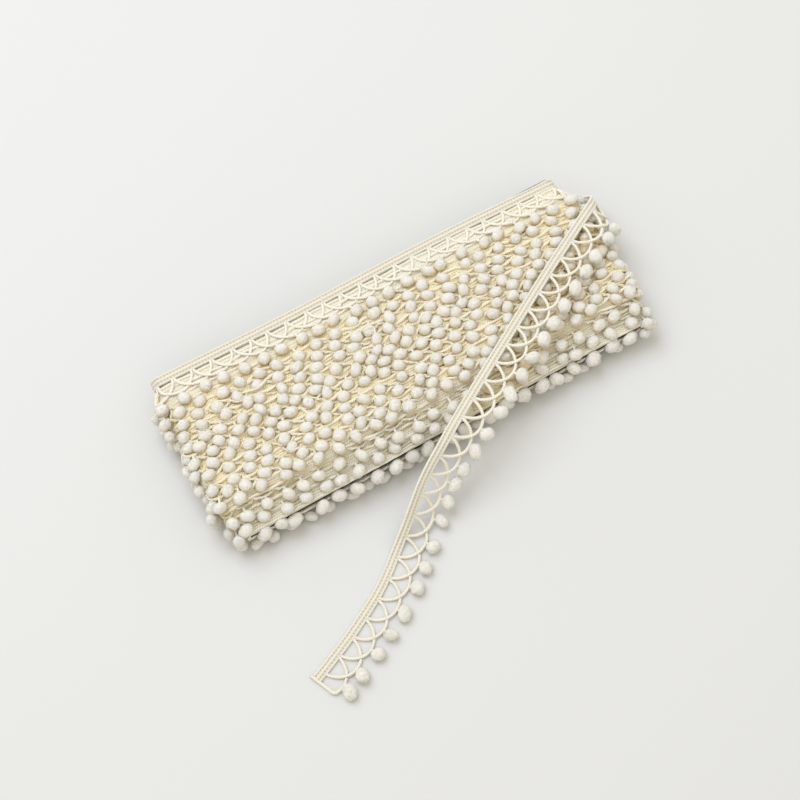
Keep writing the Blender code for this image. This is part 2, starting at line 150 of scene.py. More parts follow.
# The card's solid gives its half-length, its long edges and the height of its middle.
card_low, card_high = ((np.array(corner) / MM).round(2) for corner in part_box("winding_card"))
CARD_HALF = card_high[0]
CARD_FRONT, CARD_BACK = card_low[1], card_high[1]
CARD_MIDDLE = (card_low[2] + card_high[2]) / 2
FRONT_RIM = 0.25  # width of the dark line of painted shade along its front edge, and below, along its back edge
BACK_RIM = 0.28
LAPS = 14
LOOP = 24.6  # run of the trim round one end of the card
LAP = 4 * CARD_HALF + 2 * LOOP
# Pompom row of each lap along the top, front to back.
ROW_Y = (-36.3, -31.7, -24.2, -20.3, -15.8, -10.7, -5.8, -1.8, 2.2, 5.8, 10.7, 14.9, 20.3, 26.0)
FIRST_UNDER_Y = -40.5  # the winding starts under the card, a little ahead of it
SECOND_UNDER_AHEAD = (4.0, 8.0)  # the next run underneath is pushed forward by this much, left and right
UNDER_AHEAD = 1.0  # and all the others by this much
LAST_UNDER_Y = 17.0  # the winding leaves for the loose end from here
UNDER_LAPS = 0.7  # share of a lap that the way back underneath adds to the pile
# How much further out than the first each lap turns round the card's left and right ends.
LEFT_OUT = (-0.9, -0.2, 1.2, 0.4, -0.8, 0.3, 1.2, 0.6, -1.4, -2.2, -0.8, 1.4, 1.6, 1.0)
RIGHT_OUT = (-2.4, -2.4, -2.4, -2.2, -2.0, -1.8, -1.2, -0.6, 0.0, 0.2, 0.4, 0.4, -0.6, -1.4)
# Height of the trim's middle at four places across it: on the bare card, on three laps or more, and for the
# last two laps, whose headings lie on the card again.
ACROSS = (0.0, 4.4, 12.0, POMPOM_ACROSS)
TOP_BARE = (11.3, 11.3, 12.2, 13.9)
TOP_FULL = (16.1, 16.5, 17.9, 19.1)
TOP_BACK = (11.3, 11.5, 16.2, 19.1)
UNDER_BARE = (8.7, 8.7, 8.6, 8.8)
UNDER_FULL = (8.5, 7.2, 4.9, 3.2)
FULL_AFTER = 2.0  # laps beneath, for the full height
BACK_AFTER = 10.6  # laps beneath, where the height starts to change to that of the last two
BACK_LAPS = 2.0  # and over how many laps it changes
LAST_RISE = 1.7  # the last heading lies on the one before
LAST_SKEW = 1.1  # and shows the card's back edge at its right end

CROWN = 0.6  # the laps rise by this much towards the middle of their length
CROWN_HALF = 100.0
WANDER = 0.45  # they wander to the front and the back by this much
WANDER_LENGTH = 150.0
UNEVEN_WAVES = ((61.0, 0.5), (23.7, 0.3), (12.9, 0.2))  # length and share of each wave of unevenness
UNEVEN_SHIFT = 2.1  # and how far apart two seeds lie on them, in radians on top of its length
LAP_SKEW = 0.3  # each lap lies a little nearer to the front at the right end
END_RAGGED = 0.5  # its ends are out of line by up to this much

# Cords of the nets beneath, drawn straight by the winding: they fill the gaps between the pompoms. Places of
# the topmost of them from the front edge to the back edge, and of those under the front edge, with the height
# that they turn round to at the hank's ends.
BED_TOP = {
    "y": (-37.6, -34.0, -28.0, -23.0, 20.0, 26.0, 32.0, 37.7),
    "height": (11.4, 11.7, 13.7, 17.7, 17.7, 16.2, 14.2, 11.3),
    "round_to": (7.0, 5.0, 3.0, 2.0, 2.0, 3.0, 5.0, 7.0),
}
BED_FRONT = {"y": (-38.9, -37.5, -34.0), "height": (8.3, 7.4, 6.6), "round_to": (12.0, 12.0, 12.0)}
BED_END = 95.0  # they turn down round the hank's ends from here
BED_TURN = math.radians(150.0)
BED_TURN_POINTS = 10
BED_STEP = 1.5  # from one point to the next where they run straight
BED_SHIFT = 1.2  # each cord's wave runs this far ahead of its neighbour's
BED_SEEDS = (9.0, 1.7)  # seeds of the wave that they share, and for each cord of its own
CALM_LEAST = 0.4  # near the front edge they stray by this share
CALM_TO = 3.0  # and by all of it from this far in
# Layers of them: the first row's distance from the front, the distance between rows, the height over their
# places, how far all stray together, and how far each strays by itself to the side and upward.
BED_LAYERS = (
    {
        "places": BED_TOP, "first": 0.0, "apart": 1.1, "raised": 0.0,
        "together": 0.6, "aside": 0.15, "upward": 0.16, "radius": 0.66, "sides": 6, "relief": PLY_RELIEF,
    },
    {
        "places": BED_TOP, "first": 4.5, "apart": 4.3, "raised": 0.8,
        "together": 0.5, "aside": 1.2, "upward": 0.5, "radius": 0.7, "sides": 8, "relief": 0.16,
    },
    {
        "places": BED_FRONT, "first": 0.0, "apart": 1.1, "raised": 0.0,
        "together": 0.4, "aside": 0.3, "upward": 0.3, "radius": 0.66, "sides": 6, "relief": PLY_RELIEF,
    },
)

# ---------------------------------------------------------------- the loose end

LOOSE_TOP = 23.1  # middle of its cloth where it lies on the pompoms
FLOOR_MIDDLE = 0.6  # and where it lies on the floor
BEND_START = 96.0  # it bends down round the right end behind this x
BEND_RADIUS = 13.1
TUCK_START = 112.0  # and tucks in under itself from here along the cloth
TUCK_RADIUS = 6.0
TUCK_END = 150.0  # further than the cloth reaches
FALL_START = -41.0  # it leaves the hank's front edge here
FALL_END = -74.0  # and lies on the floor from here
FALL_SAMPLES = 200
LOOSE_POMPOMS = {"top": 13, "fall": 5, "floor": 8}  # on the hank, falling, and on the floor
LOOSE_FIRST = 14.6  # first of them, along the heading's edge
LOOSE_TIP = 4.0  # plain end after the last pompom
HIDDEN_POMPOMS = 3  # further ones, tucked in at the right end
HIDDEN_RUN = 24.0  # the route is carried straight back by this much for them
HIDDEN_TAPE = 2.0  # tape before the first of these
LOOSE_LIFT = 1.0  # height of a pompom's centre over the cloth before they settle
# Route of the heading's outer edge, from the right end to the cut end on the floor, seen from above.
LOOSE_ROUTE = (
    (114.0, 25.6),
    (98.5, 16.8),
    (70.6, 1.8),
    (34.9, -18.4),
    (10.7, -32.3),
    (-8.9, -44.1),
    (-23.3, -52.7),
    (-39.8, -65.0),
    (-58.0, -78.9),
    (-74.3, -88.3),
    (-87.0, -94.4),
    (-101.0, -100.4),
)
ROUTE_SAMPLES = 40
ROUTE_STEP = 1.5  # its direction is taken over this much to either side

# ---------------------------------------------------------------- how the pompoms settle

BAR_UNEVEN = 0.55  # typical error of a bar's place along the trim
SEAT_ALONG = 0.8  # and of a pompom's place, along the trim and across it
SEAT_ACROSS = 0.7
LOOSE_UNEVEN = 0.45
FIRST_BAR = 5.0  # after the winding's start
LAST_BAR = 9.0  # after the last end loop's middle
TAPE_BEFORE = 4.0  # the tape goes this far beyond the first and last bar
TAPE_AFTER = 3.0
SETTLE_STEPS = 90
SETTLE_TOUCH = 5.15  # centres stay about this far apart
SETTLE_PUSH = 0.7  # share of an overlap that one step takes up
SETTLE_PULL = 0.06  # share of the way back to its seat that a pompom goes in one step
SETTLE_MOST = 3.2  # furthest that it ends from its seat
FLOOR_CLEAR = 0.1
TOP_MOST = 19.8  # highest centre of a pompom under the loose end
PUSH_STEPS = 3  # rounds in which the cords are moved out of the pompoms
PUSH_BATCH = 4000  # points worked out at once
CARD_CLEAR = 1.2  # a cord's middle stays this far from the card's
LOOSE_PRESS = 0.25  # the loose end's cords press this far into the pompoms
TOP_SHARE = -0.3  # bars this far round an end still count as on top
FAR = 1e3
TINY = 1e-9

# ---------------------------------------------------------------- what a pompom is like

BLUNT = 0.8  # below 1 a pompom is blunter than an oval
LUMP = 0.019  # height of each wave of its swellings, as a share of its radius
LUMP_WAVES = 4
LUMP_RANGE = (4.0, 7.5)  # radians of a wave from the centre to the surface
STRAND = 0.035  # height of its strands, as a share of its radius
STRAND_TWIST = 0.9  # radians by which they twist for each radian from pole to pole
SWING = 0.6  # typical angle of its long axis to the trim, in radians
TILT = 0.25
AXIS_STEP = 0.5  # the trim's direction at a pompom is taken over this much to either side
SIZE_UNEVEN = 0.06  # typical error of its half-axes, as a share of them
SIZE_RANGE = (0.86, 1.1)  # and the least and the most that can be left of them
HAIR_HALF = 0.045  # half-width of a fibre's foot
HAIR_LEAN = 0.75  # how far fibres lean off the outward direction
HAIR_RANGE = (0.4, 1.3)  # shortest and longest, as a share of the usual length
HAIR_ROOT = 0.85  # share of a cord's radius at which its fibres start
POMPOM_HAIR = 0.75  # usual lengths
CORD_HAIR = 0.6
# Faces round a pompom, rings from pole to pole, strands, fibres, and how much painted shade its sides take.
TOP_POMPOM = {"around": 16, "rings": 9, "strands": 4, "fibres": 110, "rim": 0.85}
UNDER_POMPOM = {"around": 14, "rings": 8, "strands": 4, "fibres": 50, "rim": 0.25}
LOOSE_POMPOM = {"around": 28, "rings": 15, "strands": 14, "fibres": 160, "rim": 0.25}
# Fibres on all the cords of a net, and the seed of their places.
WOUND_FIBRES = {"count": 16000, "seed": 51}
LAST_FIBRES = {"count": 2500, "seed": 50}
LOOSE_FIBRES = {"count": 3000, "seed": 52}
LOOSE_SEED = 90
HIDDEN_SIDES = 5  # of cords that hardly show
SHOWN_SIDES = 8

# ---------------------------------------------------------------- where the hank's shade is painted into the colours

RIM_FROM = 0.8  # share of straight up at which a ball's side starts to take painted shade
RIM_TO = -0.2  # and at which it takes the most
RIM_LEAST = 0.3  # share of that at the hank's outline and beyond
RIM_FULL = 10.0  # the sides of pompoms this far inside the hank's outline take the most painted shade
HANK_REACH = 99.5  # half-length of the hank over its end loops
CORD_REACH = 5.0  # cords at the ends still take the hank's painted shade this far beyond
HANK_FRONT = -38.5
HANK_BACK = 42.0
FLAT_REST = 0.02  # soft cotton flattens where it rests on the floor
# Height of the pompoms' tops from the hank's front edge to its back edge.
HANK_Y = (-41.0, -33.0, -27.0, -20.0, 22.0, 28.0, 34.0, 42.0)
HANK_TOP = (12.0, 13.2, 17.5, 21.3, 21.3, 18.0, 15.0, 12.0)
DEPTH_FULL = 5.0  # a point this far inside the hank takes the full painted shade
# The strip of the hank that the loose end covers: its heading's outer edge goes from the right end to here.
COVER_FROM = LOOSE_ROUTE[0]
COVER_TO = LOOSE_ROUTE[5]
COVER_WIDTH = 20.0  # with its pompoms
COVER_EDGE = 5.0  # its shade is full this far in from its edges
COVER_HEIGHT = 21.3
# share of painted shade under the loose end's cloth
COVER_SHADE = 0.6

# ---------------------------------------------------------------- patterns of the finishes

CORD_PATCH = 7.0  # cotton fades in patches of this size
CORD_FADE = 0.3
# Strands of fibre are drawn coarser than real ones so that they show: their length along a cord and how many
# there are round it, their size on the tape, and how many there are round a pompom and from pole to pole.
CORD_FIBRE_LONG = 1.25
CORD_FIBRES_ROUND = 14.4
TAPE_FIBRE = 0.45
POMPOM_FIBRES_ROUND = 60.0
POMPOM_FIBRES_LONG = 5.0
PLY_HIGH = 0.6  # height of a ply beside that of its fibres
YARNS = 2  # strands that show in one stitch, and their height beside that of their fibres
YARN_HIGH = 0.25
HOLE_SHORT = 1.5  # power of the cosine that makes the holes round
HOLE_DEEP = 1.5
HOLE_SHADE = 0.3
YARN_STRANDS = 16  # from pole to pole of a pompom
YARN_TWIST = 0.5  # share of a turn that they go round on their way
YARN_BEND = 3.0  # radians by which the tufts push them aside
YARN_BROAD = 0.6  # power below 1 that makes them broad and their grooves narrow
TUFT = 0.95  # size of a tuft of fibre
TUFT_SHOWS = 1.6  # how much tufts and strands brighten a pompom, its grooves left darker as painted shade
STRAND_SHOWS = 0.45
FELT_LOW = 0.5  # what is taken off both, so that the grooves keep their painted shade
PULP = 0.8  # clumps of board fibre, and patches that damp has left
DAMP = 6.0

# ---------------------------------------------------------------- meshes from arrays


def unit(vectors):
    """The vectors' directions, as vectors of length 1."""
    return vectors / np.maximum(np.linalg.norm(vectors, axis=-1, keepdims=True), TINY)


def inside(points, beyond):
    """How deep a point lies in the hank, and so how much painted shade it takes, from 0 at its outside to 1:
    the least of its distances to the pompoms' tops, to the end loops, to the front and the back, and to the
    floor, over DEPTH_FULL. What the loose end's cloth covers takes some painted shade too: with d the
    distance in from the nearer edge of the cloth, a straight strip here, COVER_SHADE d / COVER_EDGE of it.
    The end loops are taken to lie beyond further out."""
    x, y, z = points.T
    below = np.interp(y, HANK_Y, HANK_TOP) - z
    ends = HANK_REACH + beyond - np.abs(x)
    walls = (below, ends, y - HANK_FRONT, HANK_BACK - y, z)
    deep = np.clip(np.min(walls, axis=0) / DEPTH_FULL, 0.0, 1.0)
    start, end = np.array(COVER_FROM), np.array(COVER_TO)
    along = (end - start) / np.linalg.norm(end - start)
    across = (y - start[1]) * along[0] - (x - start[0]) * along[1]
    over = np.clip(np.minimum(across, COVER_WIDTH - across) / COVER_EDGE, 0.0, 1.0)
    below_cloth = (z < COVER_HEIGHT) & (y > HANK_FRONT) & (ends > 0.0)
    return np.maximum(deep, COVER_SHADE * over * below_cloth)


def within(points):
    """How far a point lies inside the hank's outline as seen from above, from 0 to 1 at RIM_FULL."""
    x, y, _ = points.T
    walls = (HANK_REACH - np.abs(x), y - HANK_FRONT, HANK_BACK - y)
    return np.clip(np.min(walls, axis=0) / RIM_FULL, 0.0, 1.0)


def add_piece(name, parts, *materials, beyond=0.0):
    """One smooth mesh from several parts: points in millimetres, faces as arrays of corner numbers, for
    each of these arrays the (u, v) of its corners, and how much painted shade each point takes of itself.
    Part by part the parts take the materials, and the last material serves the rest. beyond is as in inside."""
    offsets = np.cumsum([0] + [len(part[0]) for part in parts])
    points = np.concatenate([part[0] for part in parts])
    points[:, 2] = np.maximum(points[:, 2], FLAT_REST)
    faces = [face + offset for part, offset in zip(parts, offsets) for face in part[1]]
    uv = np.concatenate([corner.reshape(-1, 2) for part in parts for corner in part[2]])
    rim_shade = np.concatenate([np.broadcast_to(part[3], len(part[0])) for part in parts])
    corners = np.concatenate([face.ravel() for face in faces]).astype(np.int32)
    sizes = np.concatenate([np.full(len(face), face.shape[1]) for face in faces])
    starts = np.concatenate(([0], np.cumsum(sizes)[:-1])).astype(np.int32)
    counts = [sum(len(face) for face in part[1]) for part in parts]
    finish = np.repeat(np.minimum(np.arange(len(parts)), len(materials) - 1), counts).astype(np.int32)
    mesh = bpy.data.meshes.new(name)
    mesh.vertices.add(len(points))
    mesh.loops.add(len(corners))
    mesh.polygons.add(len(sizes))
    mesh.vertices.foreach_set("co", (points * MM).astype(np.float32).ravel())
    mesh.polygons.foreach_set("loop_start", starts)
    mesh.polygons.foreach_set("vertices", corners)
    mesh.polygons.foreach_set("material_index", finish)
    mesh.update(calc_edges=True)
    mesh.uv_layers.new(name="UVMap").data.foreach_set("uv", uv.astype(np.float32).ravel())
    # Painted shade, kept for each point: deep in the hank, under the loose end, and on the pompoms' sides.
    shade = mesh.attributes.new("painted_shade", "FLOAT", "POINT")
    rim = rim_shade * (RIM_LEAST + (1 - RIM_LEAST) * within(points))
    shade.data.foreach_set("value", np.maximum(inside(points, beyond), rim).astype(np.float32))
    mesh.shade_smooth()
    for material in materials:
        mesh.materials.append(material)
    obj = bpy.data.objects.new(name, mesh)
    bpy.context.scene.collection.objects.link(obj)
    return obj


def tube_faces(tubes, rings, sides, run, round_v):
    """Quads of closed tubes whose points are numbered tube by tube and ring by ring, with a flat face over
    each end. u is the run along the tube and v is round_v, one value more than there are sides."""
    t, i, j = np.meshgrid(np.arange(tubes), np.arange(rings - 1), np.arange(sides), indexing="ij")
    here, after = (t * rings + i) * sides, (t * rings + i + 1) * sides
    turn = (j + 1) % sides
    quads = np.stack([here + j, after + j, after + turn, here + turn], axis=-1).reshape(-1, 4)
    u = np.stack([run[t, i], run[t, i + 1], run[t, i + 1], run[t, i]], axis=-1)
    v = np.stack([round_v[j], round_v[j], round_v[j + 1], round_v[j + 1]], axis=-1)
    first = np.arange(tubes)[:, None] * rings * sides + np.arange(sides)
    last = first[:, ::-1] + (rings - 1) * sides
    ends = np.concatenate([first, last])
    flat = np.zeros((*ends.shape, 2))
    return [quads, ends], [np.stack([u, v], axis=-1).reshape(-1, 4, 2), flat]


def frames(lines, ups):
    """Sideways and upward directions square to each line, and the run along it."""
    ahead = unit(np.gradient(lines, axis=1))
    side = unit(np.cross(ahead, ups))
    run = np.zeros(lines.shape[:2])
    run[:, 1:] = np.cumsum(np.linalg.norm(np.diff(lines, axis=1), axis=-1), axis=1)
    return side, np.cross(side, ahead), run


def cords(lines, ups, sides=6, plies=0.0, radius=CORD):
    """Cords along many lines at once, each (places, 3) with a direction that is up at each place. A ring
    is the circle cos(a) side + sin(a) up, its radius times 1 + plies cos 2(a - turn), where the turn
    follows the run, so that two plies wind round each other."""
    side, up, run = frames(lines, ups)
    a = TURN * np.arange(sides) / sides
    reach = radius * (1 + plies * np.cos(2 * (a - TURN * run[..., None] / PLY_TURN)))
    ring = np.cos(a)[:, None] * side[:, :, None] + np.sin(a)[:, None] * up[:, :, None]
    points = lines[:, :, None] + reach[..., None] * ring
    tubes, rings = lines.shape[:2]
    faces, uv = tube_faces(tubes, rings, sides, run, np.arange(sides + 1) / sides)
    return points.reshape(-1, 3), faces, uv, 0.0


def slack_cords(lines, ups, sides=4):
    """Cords whose two plies have opened up: each ply is a thin cord that winds round the cord's middle at
    SLACK_PLY_OFF, once in SLACK_PLY_TURN, the second half a turn behind the first."""
    side, up, run = frames(lines, ups)
    begin = TURN * np.arange(len(lines))[:, None] * SLACK_PLY_START
    plies = []
    for half_turn in (0.0, math.pi):
        angle = (begin + half_turn + TURN * run / SLACK_PLY_TURN)[..., None]
        plies.append(lines + SLACK_PLY_OFF * (np.cos(angle) * side + np.sin(angle) * up))
    return cords(np.concatenate(plies), np.concatenate([ups, ups]), sides, 0.0, SLACK_PLY)


def hairs(bases, outs, length, rim_shade, seed):
    """Loose cotton fibres, each one thin triangle. It stands on its base and leans off the outward
    direction by a random sideways part, and its length varies."""
    own = np.random.default_rng(seed)
    count = len(bases)
    ahead = unit(outs + HAIR_LEAN * own.normal(size=(count, 3)))
    side = unit(np.cross(ahead, own.normal(size=(count, 3)))) * HAIR_HALF
    tip = bases + ahead * length * own.uniform(*HAIR_RANGE, (count, 1))
    points = np.stack([bases - side, bases + side, tip], axis=1).reshape(-1, 3)
    faces = np.arange(3 * count).reshape(-1, 3)
    uv = np.full((count, 3, 2), 0.5)
    return points, [faces], [uv], np.repeat(np.broadcast_to(rim_shade, count), 3)


def cord_hairs(lines, ups, radius, count, seed):
    """Fibres at random places along and round some cords."""
    own = np.random.default_rng(seed)
    side, up, _ = frames(lines, ups)
    t, i = own.integers(0, len(lines), count), own.integers(1, lines.shape[1] - 1, count)
    a = own.uniform(0.0, TURN, (count, 1))
    out = np.cos(a) * side[t, i] + np.sin(a) * up[t, i]
    along = lines[t, i] + own.uniform(0.0, 1.0, (count, 1)) * (lines[t, i + 1] - lines[t, i])
    return hairs(along + out * radius * HAIR_ROOT, out, CORD_HAIR, 0.0, seed)


# ---------------------------------------------------------------- where the trim goes


def crown(x):
    """The laps rise a little towards the middle: CROWN (1 - (x / CROWN_HALF)^2)."""
    return CROWN * np.clip(1 - (x / CROWN_HALF) ** 2, 0.0, 1.0)


def wander(x):
    """The laps lie a little to the front and the back in turn: WANDER sin(360 x / WANDER_LENGTH)."""
    return WANDER * np.sin(TURN * x / WANDER_LENGTH)


def uneven(run, seed):
    """A smooth irregular value from -1 to 1 along the trim: three sines whose lengths share no multiple."""
    return sum(
        share * np.sin(TURN * run / length + seed * (UNEVEN_SHIFT + length)) for length, share in UNEVEN_WAVES
    )


def winding():
    """Knots of the whole winding: run, x, turn round the card, y of the pompom row, laps beneath.

    Each lap goes from the right end along the top, round the left end, and back underneath, where it
    steps over to the next lap. The winding starts with one more run underneath, ahead of the first lap."""
    out = np.array((LEFT_OUT, RIGHT_OUT)).T + END_RAGGED * rng.uniform(-1.0, 1.0, (LAPS, 2))
    knots = [
        (-LAP + 2 * CARD_HALF + LOOP, -CARD_HALF, -math.pi, FIRST_UNDER_Y, -1.0),
        (-LOOP, CARD_HALF, -math.pi, FIRST_UNDER_Y, -1.0),
    ]
    for lap in range(LAPS):
        start, turned = lap * LAP, lap * TURN
        left, right = CARD_HALF + out[lap]
        after = ROW_Y[lap + 1] if lap + 1 < LAPS else LAST_UNDER_Y
        skew = LAST_SKEW if lap == LAPS - 1 else LAP_SKEW
        ahead = SECOND_UNDER_AHEAD if lap == 0 else (UNDER_AHEAD, UNDER_AHEAD)
        knots += [
            (start, right, turned, ROW_Y[lap] - skew, lap),
            (start + 2 * CARD_HALF, -left, turned, ROW_Y[lap] + LAP_SKEW, lap),
            (start + 2 * CARD_HALF + LOOP, -left, turned + math.pi, ROW_Y[lap] - ahead[0], lap),
            (start + LAP - LOOP, right, turned + math.pi, after - ahead[1], lap + UNDER_LAPS),
        ]
    knots.append((LAPS * LAP, CARD_HALF, LAPS * TURN, LAST_UNDER_Y, LAPS))
    return np.array(knots).T


KNOTS = winding()


def wound(run, across, lift=0.0):
    """Place and outward direction on the winding, for a run along it and a distance across it.

    At one distance across, a lap is two straight lines joined by half circles round the card's ends. Its
    top and bottom heights change across it, from the heading that lies low to the pompoms on the other
    laps, and the half circles fit between them."""
    run, across = np.broadcast_arrays(run, across)
    middle, turned, row, laps = (np.interp(run, KNOTS[0], line) for line in KNOTS[1:])
    full = np.clip(laps / FULL_AFTER, 0.0, 1.0)
    back = np.clip((laps - BACK_AFTER) / BACK_LAPS, 0.0, 1.0)
    rise = LAST_RISE * np.clip(laps - (LAPS - 2), 0.0, 1.0) * np.clip(1 - across / POMPOM_ACROSS, 0.0, 1.0)
    top = np.interp(across, ACROSS, TOP_BARE) * (1 - full) + np.interp(across, ACROSS, TOP_FULL) * full
    top = top * (1 - back) + np.interp(across, ACROSS, TOP_BACK) * back + rise
    packed = np.clip(laps + 1.0, 0.0, 1.0)
    under = np.interp(across, ACROSS, UNDER_BARE) * (1 - packed)
    under = under + np.interp(across, ACROSS, UNDER_FULL) * packed
    radius, height = (top - under) / 2, (top + under) / 2
    x = middle - radius * np.sin(turned)
    z = height + radius * np.cos(turned) + crown(x) * np.clip(np.cos(turned), 0.0, 1.0)
    y = row + POMPOM_ACROSS - across + wander(x)
    slope = np.full_like(x, (TOP_FULL[3] - TOP_FULL[0]) / POMPOM_ACROSS)
    out = unit(np.stack([-np.sin(turned), slope, np.cos(turned)], axis=-1))
    place = np.stack([x, y, z], axis=-1)
    return place + out * np.asarray(lift)[..., None], out


def smooth(share):
    """Eases from 0 to 1: 3 s^2 - 2 s^3."""
    share = np.clip(share, 0.0, 1.0)
    return share * share * (3 - 2 * share)


# The fall over the front edge, sampled: y, height, run over the cloth and slope. Then the bend round the
# right end: run, angle, x and drop.
FALL_Y = np.linspace(FALL_START, FALL_END, FALL_SAMPLES)
FALL_Z = FLOOR_MIDDLE + (LOOSE_TOP - FLOOR_MIDDLE) * smooth((FALL_Y - FALL_END) / (FALL_START - FALL_END))
FALL_RUN = np.concatenate(([0.0], np.cumsum(np.hypot(np.diff(FALL_Y), np.diff(FALL_Z)))))
FALL_SLOPE = np.gradient(FALL_Z, FALL_Y)
BEND_V = np.linspace(BEND_START, TUCK_END, FALL_SAMPLES)
BEND_ANGLE = np.minimum(BEND_V - BEND_START, TUCK_START - BEND_START) / BEND_RADIUS
BEND_ANGLE = BEND_ANGLE + np.maximum(BEND_V - TUCK_START, 0.0) / TUCK_RADIUS
BEND_STEP = BEND_V[1] - BEND_V[0]
BEND_X = BEND_START + np.concatenate(([0.0], np.cumsum(np.cos(BEND_ANGLE[1:])))) * BEND_STEP
BEND_DROP = np.concatenate(([0.0], np.cumsum(np.sin(BEND_ANGLE[1:])))) * BEND_STEP


def lay(v, u, lift):
    """Place and upward direction of a point of the flat cloth once it is laid. v runs along X and bends
    down round the right end, u runs forward and falls from the hank's front edge to the floor."""
    y = np.interp(u, FALL_RUN, FALL_Y) - np.minimum(u, 0.0) - np.maximum(u - FALL_RUN[-1], 0.0)
    height = np.interp(u, FALL_RUN, FALL_Z)
    slope = np.interp(u, FALL_RUN, FALL_SLOPE)
    bend = np.interp(v, BEND_V, BEND_ANGLE)
    x = np.where(v > BEND_START, np.interp(v, BEND_V, BEND_X), v)
    lifted = crown(x) * (height - FLOOR_MIDDLE) / (LOOSE_TOP - FLOOR_MIDDLE)
    z = height + np.where(v > BEND_START, -np.interp(v, BEND_V, BEND_DROP), lifted)
    out = unit(np.stack([np.sin(bend), -slope, np.cos(bend)], axis=-1))
    return np.stack([x, y, z], axis=-1) + out * np.asarray(lift)[..., None], out


def flat_from_y(y):
    """Distance over the cloth, forward from the top of the fall, of a place at y."""
    on_fall = np.interp(-y, -FALL_Y, FALL_RUN)
    return on_fall - np.maximum(y - FALL_START, 0.0) + np.maximum(FALL_END - y, 0.0)


def route():
    """The route as a smooth curve through its table, in the flat cloth's own plane, evenly spaced, and
    carried straight back at its start. Between two points it is Catmull and Rom's cubic."""
    x, y = np.array(LOOSE_ROUTE).T
    rows = np.stack([x, flat_from_y(y)], axis=1)
    table = np.concatenate([[2 * rows[0] - rows[1]], rows, [2 * rows[-1] - rows[-2]]])
    t = np.linspace(0, 1, ROUTE_SAMPLES, endpoint=False)[None, :, None]
    a, b, c, d = (table[i : len(table) - 3 + i, None] for i in range(4))
    cubic = 2 * b + (c - a) * t + (2 * a - 5 * b + 4 * c - d) * t**2 + (3 * b - a - 3 * c + d) * t**3
    line = np.concatenate([0.5 * cubic.reshape(-1, 2), rows[-1:]])
    back = line[0] - unit(line[1] - line[0]) * HIDDEN_RUN
    return np.concatenate([[back], line])


ROUTE = route()
ROUTE_RUN = np.concatenate(([0.0], np.cumsum(np.hypot(*np.diff(ROUTE, axis=0).T)))) - HIDDEN_RUN
LOOSE_LENGTH = float(ROUTE_RUN[-1])
LOOSE_COUNT = sum(LOOSE_POMPOMS.values())
LOOSE_PITCH = (LOOSE_LENGTH - LOOSE_FIRST - LOOSE_TIP) / (LOOSE_COUNT - 1)


def loose(run, across, lift=0.0):
    """Place and upward direction on the loose end, for a run along its heading and a distance across: in
    the flat cloth, the route's own point and from there so far square to the route."""
    run, across, lift = np.broadcast_arrays(run, across, lift)
    ahead = np.stack([np.interp(run + ROUTE_STEP, ROUTE_RUN, line) for line in ROUTE.T], axis=-1)
    back = np.stack([np.interp(run - ROUTE_STEP, ROUTE_RUN, line) for line in ROUTE.T], axis=-1)
    along = unit(ahead - back)
    flat = np.stack([np.interp(run, ROUTE_RUN, line) for line in ROUTE.T], axis=-1)
    flat = flat + across[..., None] * np.stack([along[..., 1], -along[..., 0]], axis=-1)
    return lay(flat[..., 0], flat[..., 1], lift)


# ---------------------------------------------------------------- pompoms find their places

FIRST_RUN = KNOTS[0][0] + FIRST_BAR
LAST_RUN = LAPS * LAP - LOOP + LAST_BAR
bars = np.arange(FIRST_RUN, LAST_RUN, PITCH)
bars = bars + rng.normal(0.0, BAR_UNEVEN, len(bars))
bar_slip = rng.normal(0.0, SEAT_ALONG, len(bars))  # how far each pompom leans along the trim
bar_reach = rng.normal(0.0, SEAT_ACROSS, len(bars))  # and across it
loose_bars = LOOSE_FIRST + LOOSE_PITCH * np.arange(-HIDDEN_POMPOMS, LOOSE_COUNT)
loose_slip = rng.normal(0.0, LOOSE_UNEVEN, len(loose_bars))

wound_seats, wound_out = wound(bars + bar_slip, POMPOM_ACROSS + bar_reach)
loose_seats, loose_out = loose(loose_bars + loose_slip, POMPOM_ACROSS, LOOSE_LIFT)


def settle(seats, under_loose):
    """Pushes pompoms apart that overlap, until each nearly fits. A step moves a pompom by half of each
    overlap, times SETTLE_PUSH, along the line between the two centres, and a little of the way back to its
    own seat."""
    centres = seats.copy()
    for _ in range(SETTLE_STEPS):
        gap = centres[:, None] - centres[None]
        far = np.linalg.norm(gap, axis=-1)
        np.fill_diagonal(far, FAR)
        overlap = np.clip(SETTLE_TOUCH - far, 0.0, None)
        push = (gap / far[..., None] * (overlap / 2)[..., None]).sum(axis=1)
        centres = centres + SETTLE_PUSH * push + SETTLE_PULL * (seats - centres)
        moved = centres - seats
        most = np.linalg.norm(moved, axis=-1, keepdims=True)
        centres = seats + moved * np.minimum(1.0, SETTLE_MOST / np.maximum(most, TINY))
        high = np.where(under_loose, TOP_MOST + crown(centres[:, 0]), FAR)
        centres[:, 2] = np.clip(centres[:, 2], POMPOM_SHORT + FLOOR_CLEAR, high)
    return centres


seats = np.concatenate([wound_seats, loose_seats])
outs = np.concatenate([wound_out, loose_out])
is_wound = np.arange(len(seats)) < len(bars)
centres = settle(seats, is_wound)


# ---------------------------------------------------------------- net, tape and pompoms


